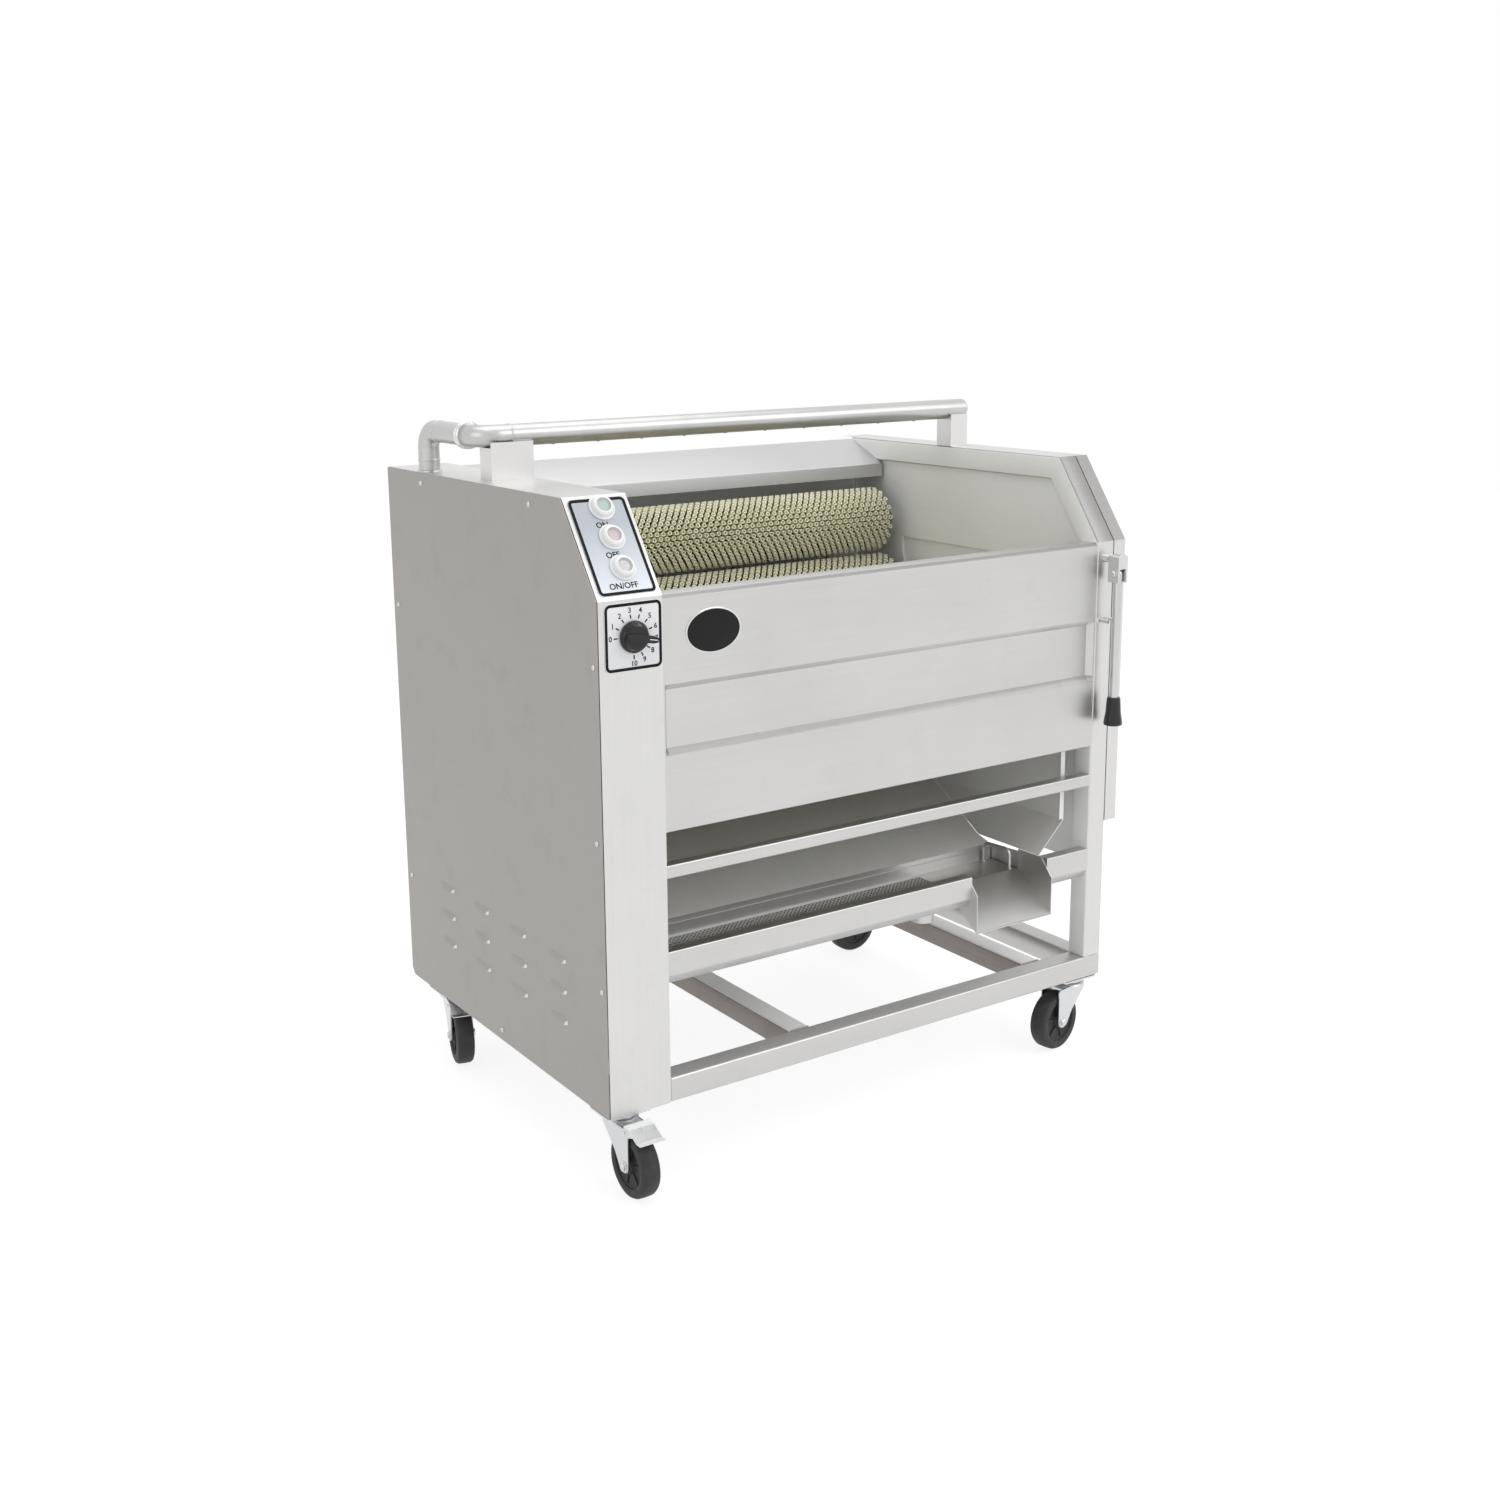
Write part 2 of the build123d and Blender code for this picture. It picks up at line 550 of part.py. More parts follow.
def end_panel():
    """The recessed end wall with the discharge opening and the gate shaft's rear ear."""
    panel = prism_x(end_outline(TUBE, BASE_TOP), END_PANEL_LEFT, END_PANEL_RIGHT)
    for y, z in roller_centres():
        panel -= rod((END_PANEL_LEFT - 1, y, z), (END_PANEL_RIGHT + 1, y, z), SHAFT_RADIUS + HOLE_CLEARANCE)
    limits = (DISCHARGE_FRONT, DISCHARGE_REAR, DISCHARGE_TOP)
    panel -= discharge_outline(END_PANEL_LEFT - 1, DISCHARGE_RADIUS, *limits, END_PANEL_SHEET + 2)
    ear_y = DISCHARGE_REAR + GATE_LAP + 1
    half = GATE_SHAFT_RADIUS + PLATE
    ear = block(
        END_PANEL_RIGHT,
        GATE_AXIS_X + half,
        ear_y,
        ear_y + PLATE,
        GATE_SHAFT_HEIGHT - half,
        GATE_SHAFT_HEIGHT + half,
    )
    bore = rod(
        (GATE_AXIS_X, ear_y - 1, GATE_SHAFT_HEIGHT),
        (GATE_AXIS_X, ear_y + PLATE + 1, GATE_SHAFT_HEIGHT),
        GATE_SHAFT_RADIUS + RUNNING_FIT,
    )
    return panel + (ear - bore)


def bearing_cover():
    """The outer cover over the roller bearings, open to the machine and round the discharge."""
    left, right = BODY_WIDTH, BODY_WIDTH + COVER_DEPTH
    cover = prism_x(end_outline(0, COVER_BOTTOM), left, right)
    cover -= prism_x(end_outline(SHEET, COVER_BOTTOM + SHEET), left, right - SHEET)
    radius = DISCHARGE_RADIUS + 2 * GATE_LAP
    limits = (DISCHARGE_FRONT - 2 * GATE_LAP, DISCHARGE_REAR + 2 * GATE_LAP)
    top = GATE_SHAFT_HEIGHT + 2 * GATE_SHAFT_RADIUS
    return cover - discharge_outline(right - SHEET - 1, radius, *limits, top, SHEET + 2)


def gate_flap():
    """The sheet that closes the discharge opening from outside."""
    radius = DISCHARGE_RADIUS + GATE_LAP
    limits = (DISCHARGE_FRONT - GATE_LAP, DISCHARGE_REAR + GATE_LAP, GATE_SHAFT_HEIGHT)
    return discharge_outline(GATE_LEFT, radius, *limits, GATE_SHEET)


def gate_shaft():
    """The gate's shaft, with the flap's seat strip and the fork that carries the lever."""
    rear = DISCHARGE_REAR + GATE_LAP + 1 + PLATE
    z = GATE_SHAFT_HEIGHT
    shaft = rod((GATE_AXIS_X, rear, z), (GATE_AXIS_X, -LEVER_REACH, z), GATE_SHAFT_RADIUS)
    seat_x = (GATE_LEFT + GATE_SHEET, GATE_AXIS_X)
    seat = block(*seat_x, DISCHARGE_FRONT, DISCHARGE_REAR, z - 2 * GATE_SHAFT_RADIUS, z)
    half = LEVER_HUB_SIZE / 2
    front, rear_face = -LEVER_REACH - half, -LEVER_REACH + half
    hub = block(GATE_AXIS_X - half, GATE_AXIS_X + half, front, rear_face, LEVER_HUB_BOTTOM, LEVER_HUB_TOP)
    hub = fillet(hub.edges().filter_by(Axis.Y).group_by(Axis.Z)[-1], LEVER_HUB_ROUND)
    slot_half = LEVER_ROD_RADIUS + FACE_GAP
    slot_top = LEVER_PIVOT_Z + LEVER_ROD_RADIUS + SHEET
    slot = (GATE_AXIS_X - slot_half, GATE_AXIS_X + slot_half)
    hub -= block(*slot, front - 1, rear_face + 1, LEVER_HUB_BOTTOM - 1, slot_top)
    pivot = (-LEVER_REACH, LEVER_PIVOT_Z)
    hub -= rod((GATE_AXIS_X - half - 1, *pivot), (GATE_AXIS_X + half + 1, *pivot), LEVER_BOLT_RADIUS)
    return shaft + seat + hub


def lever_bolt():
    """The cross bolt of the lever's hinge, with its head and acorn nut."""
    half = LEVER_HUB_SIZE / 2
    pivot = (-LEVER_REACH, LEVER_PIVOT_Z)
    left, right = GATE_AXIS_X - half, GATE_AXIS_X + half
    shank = rod((left, *pivot), (right, *pivot), LEVER_BOLT_RADIUS)
    head = rod((left - PLATE, *pivot), (left, *pivot), 2 * LEVER_BOLT_RADIUS)
    nut = rod((right, *pivot), (right + 2 * PLATE, *pivot), 2 * LEVER_BOLT_RADIUS)
    return shank + head + fillet(nut.faces().sort_by(Axis.X)[-1].edges(), LEVER_NUT_ROUND)


def lever_rod():
    """The round lever bar, with a rounded eye for the cross bolt."""
    pivot = (-LEVER_REACH, LEVER_PIVOT_Z)
    bar = rod((GATE_AXIS_X, *pivot), (GATE_AXIS_X, -LEVER_REACH, LEVER_GRIP_TOP), LEVER_ROD_RADIUS)
    bar += Pos(GATE_AXIS_X, *pivot) * Sphere(LEVER_ROD_RADIUS)
    reach = LEVER_ROD_RADIUS + 1
    bore_radius = LEVER_BOLT_RADIUS + RUNNING_FIT
    return bar - rod((GATE_AXIS_X - reach, *pivot), (GATE_AXIS_X + reach, *pivot), bore_radius)


def lever_grip():
    """The tapered grip on the lever's lower end."""
    top = (GATE_AXIS_X, -LEVER_REACH, LEVER_GRIP_TOP)
    bottom = (GATE_AXIS_X, -LEVER_REACH, LEVER_GRIP_BOTTOM)
    grip = rod(top, bottom, *LEVER_GRIP_RADII)
    return fillet(grip.faces().sort_by(Axis.Z)[0].edges(), LEVER_GRIP_ROUND)


def lever_prongs():
    """Two wire prongs on the front post, one each side of the lever."""
    reach = LEVER_REACH - LEVER_ROD_RADIUS - 1
    spread = LEVER_ROD_RADIUS + PRONG_RADIUS + 1
    places = (GATE_AXIS_X - spread, GATE_AXIS_X + spread)
    return [rod((x, 0, PRONG_HEIGHT), (x, -reach, PRONG_HEIGHT), PRONG_RADIUS) for x in places]


# ---- Front ----
def front_panel():
    """The upper front sheet with its pressed band and rolled top lip."""
    line = [
        (GUTTER_RETURN, FRONT_PANEL_BOTTOM),
        (0, FRONT_PANEL_BOTTOM),
        (0, RECESS_BOTTOM),
        (RECESS_DEPTH, RECESS_BOTTOM + RECESS_DEPTH),
        (RECESS_DEPTH, RECESS_TOP - RECESS_DEPTH),
        (0, RECESS_TOP),
        (0, FRONT_PANEL_TOP - FRONT_LIP_BEVEL),
        (FRONT_LIP_BEVEL, FRONT_PANEL_TOP),
        (FRONT_LIP_DEPTH, FRONT_PANEL_TOP),
        (FRONT_LIP_DEPTH, FRONT_PANEL_TOP - FRONT_RETURN),
    ]
    return prism_x(bent_strip(line, SHEET), HOUSING_WIDTH, INNER_RIGHT)


def mid_rail():
    """The small square tube across the lower opening."""
    rail = block(HOUSING_WIDTH, INNER_RIGHT, 0, MID_RAIL, MID_RAIL_BOTTOM, MID_RAIL_BOTTOM + MID_RAIL)
    wall = TUBE_WALL
    return rail - block(
        HOUSING_WIDTH,
        INNER_RIGHT,
        wall,
        MID_RAIL - wall,
        MID_RAIL_BOTTOM + wall,
        MID_RAIL_BOTTOM + MID_RAIL - wall,
    )


def waste_gutter():
    """The gutter: a front profile, a floor, a rear wall, an end wall and a drain stub, welded together."""
    front = [
        (GUTTER_RETURN, GUTTER_TOP),
        (0, GUTTER_TOP),
        (0, GUTTER_BEVEL_TOP),
        (GUTTER_BEVEL, GUTTER_FLOOR),
        (GUTTER_RETURN, GUTTER_FLOOR),
    ]
    # The sheet lies above and inside the line, so the line runs the other way round.
    profile = bent_strip(list(reversed(front)), SHEET)
    lips = [prism_x(profile, HOUSING_WIDTH, SPOUT_LEFT), prism_x(profile, GUTTER_END, INNER_RIGHT)]
    xs, floor_top = (HOUSING_WIDTH, GUTTER_END), GUTTER_FLOOR + SHEET
    floor = block(*xs, GUTTER_RETURN, GUTTER_DEPTH, GUTTER_FLOOR, floor_top)
    floor -= block(SPOUT_LEFT, GUTTER_END, 0, SPOUT_REAR, GUTTER_FLOOR - 1, GUTTER_TOP)
    rear = block(*xs, GUTTER_DEPTH - SHEET, GUTTER_DEPTH, floor_top, GUTTER_REAR_TOP)
    outline = [*front[:-1], (GUTTER_DEPTH, GUTTER_FLOOR), (GUTTER_DEPTH, GUTTER_REAR_TOP)]
    end = prism_x(outline, GUTTER_END, GUTTER_END + SHEET) - lips[1]
    x, y = DRAIN_CENTRE
    bottom = GUTTER_FLOOR - DRAIN_LENGTH
    bore = rod((x, y, GUTTER_FLOOR + 2 * SHEET), (x, y, bottom - 1), DRAIN_RADIUS - PIPE_WALL)
    stub = rod((x, y, GUTTER_FLOOR), (x, y, bottom), DRAIN_RADIUS) - bore
    return [*lips, floor - bore, rear, end, stub]


def spout():
    """The sloped outlet with its two side walls."""
    left, right = SPOUT_LEFT, GUTTER_END
    floor_line = [(SPOUT_REAR, GUTTER_FLOOR), (SPOUT_REAR, SPOUT_FLOOR_HEIGHT), SPOUT_LIP]
    body = prism_x(bent_strip(floor_line, -SHEET), left, right)
    wall = [
        SPOUT_LIP,
        (SPOUT_REAR, SPOUT_FLOOR_HEIGHT),
        (SPOUT_REAR, GUTTER_TOP),
        (-SPOUT_LIP[0], GUTTER_TOP),
        (SPOUT_LIP[0], SPOUT_WALL_FRONT),
    ]
    return body + prism_x(wall, left, left + SHEET) + prism_x(wall, right - SHEET, right)


def sieve():
    """The slotted lift-out plate on its legs, with the upstand and the lifting hoop welded on."""
    left, right = HOUSING_WIDTH + SIEVE_GAP, GUTTER_END - SIEVE_GAP
    rear = GUTTER_DEPTH - SHEET - SIEVE_GAP
    leg = GUTTER_FLOOR + SHEET + FACE_GAP
    line = [(SIEVE_FRONT, leg), (SIEVE_FRONT, SIEVE_HEIGHT), (rear, SIEVE_HEIGHT)]
    plate = prism_x(bent_strip(line, SHEET), left, right)
    slot, pitch = SIEVE_SLOT, SIEVE_SLOT_PITCH
    columns = int((SPOUT_LEFT - left - SIEVE_GAP) // pitch[0])
    rows = int((rear - SIEVE_FRONT - pitch[1]) // pitch[1])
    for i in range(columns):
        for j in range(rows):
            x, y = left + pitch[0] * (i + 1) - slot[0], SIEVE_FRONT + pitch[1] * (j + 1)
            plate -= block(x, x + slot[0], y, y + slot[1], SIEVE_HEIGHT - 2 * SHEET, SIEVE_HEIGHT + 1)
    cut_left, cut_rear = SPOUT_LEFT - SIEVE_GAP, SPOUT_REAR + SIEVE_GAP
    plate -= block(cut_left, right + 1, SIEVE_FRONT - 1, cut_rear, leg - 1, SIEVE_UPSTAND)
    upstand = block(left, right, rear - SHEET, rear, SIEVE_HEIGHT, SIEVE_UPSTAND)
    y0, y1 = HANDLE_YS
    base, top = SIEVE_HEIGHT, SIEVE_HEIGHT + HANDLE_HEIGHT
    corners = [(HANDLE_X, y0, base), (HANDLE_X, y0, top), (HANDLE_X, y1, top), (HANDLE_X, y1, base)]
    path = FilletPolyline(*corners, radius=3 * HANDLE_RADIUS)
    hoop = sweep(Plane((HANDLE_X, y0, base)) * Circle(HANDLE_RADIUS), path=path)
    return [plate, upstand, hoop]


def hopper_back_line():
    """The sloped back plate's upper line, from the gutter to the rear sheet."""
    rear = INNER_REAR - SHEET
    rear_z = HOPPER_FRONT_Z + HOPPER_SLOPE * (rear - HOPPER_FRONT_Y)
    return [(HOPPER_FRONT_Y, HOPPER_FRONT_Z), (rear, rear_z)]


def hopper_side_line():
    """The side plate's inner line in (x, z): a slope from the gutter's end, then upright."""
    x, z = HOPPER_SIDE_TOP
    return [(GUTTER_END + SHEET, GUTTER_TOP), (x, z), (x, HOPPER_WALL_TOP)]


def hopper_back_plate():
    line = hopper_back_line()
    plate = prism_x(bent_strip(line, SHEET), HOUSING_WIDTH, HOPPER_SIDE_TOP[0] + SHEET)
    side = hopper_side_line()
    outside = [*side, (BODY_WIDTH, HOPPER_WALL_TOP), (BODY_WIDTH, BASE_TOP), (GUTTER_END + SHEET, BASE_TOP)]
    rear = INNER_REAR - SHEET
    plate -= block(HOUSING_WIDTH, BODY_WIDTH, rear, rear + TUBE, BASE_TOP, BODY_TOP)
    return plate - prism_y(outside, 0, BODY_DEPTH)


def hopper_side_plate():
    front = GUTTER_RETURN + 2
    plate = prism_y(bent_strip(hopper_side_line(), SHEET), front, INNER_REAR - SHEET)
    low, high = hopper_back_line()
    under = [low, high, (INNER_REAR, BASE_TOP), (HOPPER_FRONT_Y, BASE_TOP)]
    x, z = HOPPER_SIDE_TOP
    flange = block(x - HOPPER_FLANGE, x, front, front + SHEET, z + SHEET, FRONT_PANEL_BOTTOM)
    return plate + flange - prism_x(under, GUTTER_END, BODY_WIDTH)


# ---- Rear ----
def rear_panel():
    """The sheet that closes the back between the base and the top rail."""
    return block(HOUSING_WIDTH, INNER_RIGHT, INNER_REAR - SHEET, INNER_REAR, BASE_TOP, BODY_TOP - TUBE)


def rear_cover():
    """The sloped cover over the rear roller, with a turned-down front lip."""
    line = [
        (REAR_COVER_LIP_Y, REAR_COVER_LIP_Z - REAR_COVER_LIP_DROP),
        (REAR_COVER_LIP_Y, REAR_COVER_LIP_Z),
        (INNER_REAR, BODY_TOP - REAR_COVER_TOP_DROP),
    ]
    cover = prism_x(bent_strip(line, SHEET), HOUSING_WIDTH, INNER_RIGHT)
    return cover - block(HOUSING_WIDTH, INNER_RIGHT, INNER_REAR, BODY_DEPTH, BASE_TOP, BODY_TOP)


# ---- Spray pipe ----
def bent_pipe(points):
    """A hollow pipe through the points, with its bends rounded."""
    path = FilletPolyline(*points, radius=PIPE_BEND)
    start = Plane(points[0], z_dir=Vector(*points[1]) - Vector(*points[0]))
    outer = sweep(start * Circle(PIPE_RADIUS), path=path)
    return outer - sweep(start * Circle(PIPE_RADIUS - PIPE_WALL), path=path)


def spray_manifold():
    """The cross pipe with its elbow, end plug and spray holes underneath."""
    pipe = bent_pipe([(LEG_X, UNION_Y, PIPE_Z), (LEG_X, PIPE_Y, PIPE_Z), (BODY_WIDTH, PIPE_Y, PIPE_Z)])
    pitch = BRUSH_LENGTH / SPRAY_HOLES
    for n in range(SPRAY_HOLES):
        x = BRUSH_LEFT + pitch * (n + 0.5)
        pipe -= rod((x, PIPE_Y, PIPE_Z), (x, PIPE_Y, PIPE_Z - PIPE_RADIUS - 1), SPRAY_HOLE_RADIUS)
    return pipe


def end_plug():
    """The cap on the manifold's right end."""
    cap = rod((BODY_WIDTH, PIPE_Y, PIPE_Z), (BODY_WIDTH + END_PLUG_LENGTH, PIPE_Y, PIPE_Z), PIPE_RADIUS)
    return fillet(cap.faces().sort_by(Axis.X)[-1].edges(), END_PLUG_LENGTH * 0.6)


def supply_pipe():
    """The riser from the housing top with its elbow towards the front."""
    low = BODY_TOP - 2 * TUBE
    return bent_pipe([(LEG_X, LEG_Y, low), (LEG_X, LEG_Y, PIPE_Z), (LEG_X, UNION_Y, PIPE_Z)])


def pipe_union():
    """The ring nut that joins the riser to the manifold."""
    half = UNION_LENGTH / 2
    start, end = (LEG_X, UNION_Y - half, PIPE_Z), (LEG_X, UNION_Y + half, PIPE_Z)
    return rod(start, end, UNION_RADIUS) - rod(start, end, PIPE_RADIUS + RUNNING_FIT)


def pipe_brackets():
    """Two blocks that carry the manifold on the housing and on the right top rail."""
    y0, y1 = PIPE_Y - BRACKET_DEPTH / 2, PIPE_Y + BRACKET_DEPTH / 2
    z0, z1 = BODY_TOP, PIPE_Z
    saddle = rod((0, PIPE_Y, PIPE_Z), (BODY_WIDTH, PIPE_Y, PIPE_Z), PIPE_RADIUS + RUNNING_FIT)
    return [
        block(*LEFT_BRACKET_X, y0, y1, z0, z1 - PIPE_RADIUS / 2) - saddle - elbow_room(),
        block(INNER_RIGHT, BODY_WIDTH, y0, y1, z0, z1 - PIPE_RADIUS / 2) - saddle,
    ]


def elbow_room():
    """The space that the manifold's elbow takes near the left bracket."""
    reach = PIPE_RADIUS + PIPE_BEND
    bottom = PIPE_Z - PIPE_RADIUS - RUNNING_FIT
    return block(0, LEG_X + reach, PIPE_Y - PIPE_RADIUS - 1, UNION_Y, bottom, PIPE_Z)


# ---- Controls ----
def button_places(height):
    """A place on the control face for each button, at a height above the sheet."""
    face = CONTROL_PLANE.offset(height)
    return [Location(face) * Pos(BUTTON_X, s, 0) for s in BUTTON_S]


def control_plate():
    """The plate under the three push buttons."""
    (x0, x1), (s0, s1) = CONTROL_PLATE_X, CONTROL_PLATE_S
    face = Pos((x0 + x1) / 2, (s0 + s1) / 2) * RectangleRounded(x1 - x0, s1 - s0, CONTROL_PLATE_CORNER)
    for s in BUTTON_S:
        face -= Pos(BUTTON_X, s) * Circle(BUTTON_NECK_RADIUS)
    return extrude(CONTROL_PLANE * face, NAME_PLATE_SHEET)


def upright(bottom, top, radius):
    """A round bar on the z axis."""
    return Pos(0, 0, bottom) * Cylinder(radius, top - bottom, align=UPRIGHT)


def push_switches():
    """Panel switches: a bezel on the plate, a neck through it and a contact block behind."""
    bezel_top = NAME_PLATE_SHEET + BUTTON_BEZEL_HEIGHT
    block_height = SWITCH_BLOCK
    switch = upright(NAME_PLATE_SHEET, bezel_top, BUTTON_BEZEL_RADIUS)
    switch += upright(BUTTON_NECK_END, NAME_PLATE_SHEET + 1, BUTTON_NECK_RADIUS)
    contact = Box(SWITCH_BLOCK, SWITCH_BLOCK, block_height, align=UPRIGHT)
    switch += Pos(0, 0, BUTTON_NECK_END - block_height) * contact
    switch -= upright(BUTTON_NECK_END, bezel_top + 1, BUTTON_CAP_RADIUS + RUNNING_FIT)
    switch -= upright(SWITCH_STEM_BORE_END, 0, BUTTON_STEM_RADIUS + RUNNING_FIT)
    return [place * switch for place in button_places(0)]


def button_cap(index):
    """A coloured cap with its stem."""
    cap = upright(BUTTON_CAP_BOTTOM, BUTTON_CAP_TOP, BUTTON_CAP_RADIUS)
    cap = fillet(cap.faces().sort_by(Axis.Z)[-1].edges(), BUTTON_CAP_ROUND)
    stem = upright(BUTTON_STEM_END, BUTTON_CAP_BOTTOM + 1, BUTTON_STEM_RADIUS)
    return button_places(0)[index] * (cap + stem)


def button_boots():
    """Clear boots over the buttons."""
    rim = BUTTON_BEZEL_RADIUS + FACE_GAP
    foot = [(rim, NAME_PLATE_SHEET), (BUTTON_BOOT_RADIUS, NAME_PLATE_SHEET)]
    outline = [*foot, *BUTTON_BOOT_OUTSIDE, *BUTTON_BOOT_INSIDE, (rim, BUTTON_BOOT_STEP)]
    boot = revolve(Plane.XZ * Polygon(*outline, align=None), Axis.Z)
    return [place * boot for place in button_places(0)]


def dial_plate():
    """The plate behind the speed knob."""
    (x0, x1), (z0, z1) = DIAL_PLATE_X, DIAL_PLATE_Z
    face = Pos((x0 + x1) / 2, (z0 + z1) / 2) * RectangleRounded(x1 - x0, z1 - z0, DIAL_PLATE_CORNER)
    face -= Pos(*KNOB_CENTRE) * Circle(KNOB_SHAFT_RADIUS + 1)
    return extrude(Plane.XZ * face, NAME_PLATE_SHEET)


def speed_knob():
    """The knob with its pointer bar and shaft."""
    x, z = KNOB_CENTRE
    back = -NAME_PLATE_SHEET - FACE_GAP
    skirt_y = back - KNOB_SKIRT
    skirt = rod((x, back, z), (x, skirt_y, z), KNOB_RADIUS)
    barrel = rod((x, skirt_y, z), (x, back - KNOB_DEPTH, z), *KNOB_BARREL_RADII)
    half, tail, neck = KNOB_POINTER_HALF, -KNOB_POINTER_TAIL, KNOB_POINTER - KNOB_POINTER_ARROW
    arrow = [(tail, -half), (tail, half), (neck, half), (KNOB_POINTER, 0), (neck, -half)]
    arrow = Pos(x, z) * Rot(0, 0, KNOB_POINTER_TURN) * Polygon(*arrow, align=None)
    pointer = extrude(Plane.XZ.offset(-back) * arrow, KNOB_POINTER_HEIGHT, dir=(0, -1, 0))
    return skirt + barrel + pointer + rod((x, skirt_y, z), (x, KNOB_SHAFT_END, z), KNOB_SHAFT_RADIUS)


def speed_control():
    """The variable resistor behind the dial."""
    x, z = KNOB_CENTRE
    body = rod((x, SHEET, z), (x, SHEET + RESISTOR_DEPTH, z), RESISTOR_RADIUS)
    return body - rod((x, SHEET - 1, z), (x, KNOB_SHAFT_END + 1, z), KNOB_SHAFT_RADIUS + RUNNING_FIT)


def badge():
    """A plain oval plate."""
    face = Plane.XZ * Pos(*BADGE_CENTRE) * Ellipse(BADGE_SIZE[0] / 2, BADGE_SIZE[1] / 2)
    return extrude(face, NAME_PLATE_SHEET)


# ---- Castors ----
def castor_pivots():
    """The (x, y) of each castor's king pin."""
    left, right = CASTOR_INSETS[0], BODY_WIDTH - CASTOR_INSETS[1]
    return {
        "front_left": (left, CASTOR_FRONT_Y),
        "front_right": (right, CASTOR_FRONT_Y),
        "rear_left": (left, CASTOR_REAR_Y),
        "rear_right": (right, CASTOR_REAR_Y),
    }


def castor_place(name):
    """Where a castor's own frame lies: the king pin is its z axis and the wheel trails along -y."""
    x, y = castor_pivots()[name]
    return Pos(x, y, 0) * Rot(0, 0, FORK_TURNS[name])


def castor_plates():
    """Mounting plates with their ball races and king pins."""
    width, depth, sheet = CASTOR_PLATE
    head_radius, head_height = KINGPIN_HEAD
    under = CASTOR_HEIGHT - sheet
    race_radii = (CASTOR_RACE_RADIUS, CASTOR_RACE_RADIUS - CASTOR_RACE_TAPER)
    plates = []
    for x, y in castor_pivots().values():
        plate = Pos(x, y, under) * Box(width, depth, sheet, align=UPRIGHT)
        race = rod((x, y, under), (x, y, FORK_TOP + FACE_GAP), *race_radii)
        pin = rod((x, y, under), (x, y, FORK_BOTTOM - head_height), KINGPIN_RADIUS)
        head = rod((x, y, FORK_BOTTOM - FACE_GAP), (x, y, FORK_BOTTOM - head_height), head_radius)
        plates.append(plate + race + pin + head)
    return plates


def castor_fork(name):
    """The swivelling fork and the wheel's axle bolt, in the castor's place."""
    crown_radii = (CASTOR_RACE_RADIUS + FORK_CROWN_LAP, CASTOR_RACE_RADIUS)
    crown = rod((0, 0, FORK_BOTTOM), (0, 0, FORK_TOP), *crown_radii)
    crown += block(-FORK_HALF, FORK_HALF, -CASTOR_TRAIL, FORK_REACH, FORK_BOTTOM, FORK_BOTTOM + FORK_SHEET)
    leg = [(FORK_REACH, FORK_BOTTOM + FORK_SHEET)]
    leg += [(a, FORK_BOTTOM + b) for a, b in FORK_LEG_FRONT]
    leg += [(a - CASTOR_TRAIL, WHEEL_RADIUS + b) for a, b in FORK_LEG_END]
    boss, rise = PEDAL_BOSS
    leg += [(PEDAL_PIN[0] - boss, PEDAL_PIN[1] - boss), (PEDAL_PIN[0] - boss, PEDAL_PIN[1] + rise)]
    leg += [(-CASTOR_TRAIL, FORK_BOTTOM + FORK_SHEET)]
    axle = (-CASTOR_TRAIL, WHEEL_RADIUS)
    inner = FORK_HALF - FORK_SHEET
    fork = crown + prism_x(leg, -FORK_HALF, -inner) + prism_x(leg, inner, FORK_HALF)
    fork -= rod((-FORK_HALF - 1, *axle), (FORK_HALF + 1, *axle), AXLE_RADIUS)
    fork -= rod((-FORK_HALF - 1, *PEDAL_PIN), (FORK_HALF + 1, *PEDAL_PIN), PEDAL_PIN_RADIUS + RUNNING_FIT)
    fork -= rod((0, 0, 0), (0, 0, CASTOR_HEIGHT), KINGPIN_RADIUS + RUNNING_FIT)
    bolt = rod((-FORK_HALF, *axle), (FORK_HALF, *axle), AXLE_RADIUS)
    nut_radius, nut_height = AXLE_NUT
    bolt += rod((-FORK_HALF - nut_height, *axle), (-FORK_HALF, *axle), nut_radius)
    bolt += rod((FORK_HALF, *axle), (FORK_HALF + nut_height, *axle), nut_radius)
    return [castor_place(name) * fork, castor_place(name) * bolt]


def castor_wheel(name):
    """A solid wheel with rounded shoulders, dished sides and a hub."""
    half, hub = WHEEL_WIDTH / 2, WHEEL_WIDTH / 2 + FORK_SIDE_GAP - FACE_GAP
    web_inner, web_outer, dish = WHEEL_WEB
    shoulder_width, shoulder_drop = WHEEL_SHOULDER
    side = [
        (hub, AXLE_RADIUS + RUNNING_FIT),
        (hub, WHEEL_HUB_RADIUS),
        (half - dish, web_inner),
        (half - dish, web_outer),
        (half, WHEEL_RIM_RADIUS),
        (half, WHEEL_RADIUS - shoulder_drop),
        (half - shoulder_width, WHEEL_RADIUS),
    ]
    mirrored = [(-x, radius) for x, radius in reversed(side)]
    wheel = revolve(Plane.XY * Polygon(*side, *mirrored, align=None), Axis.X)
    return castor_place(name) * Pos(0, -CASTOR_TRAIL, WHEEL_RADIUS) * wheel


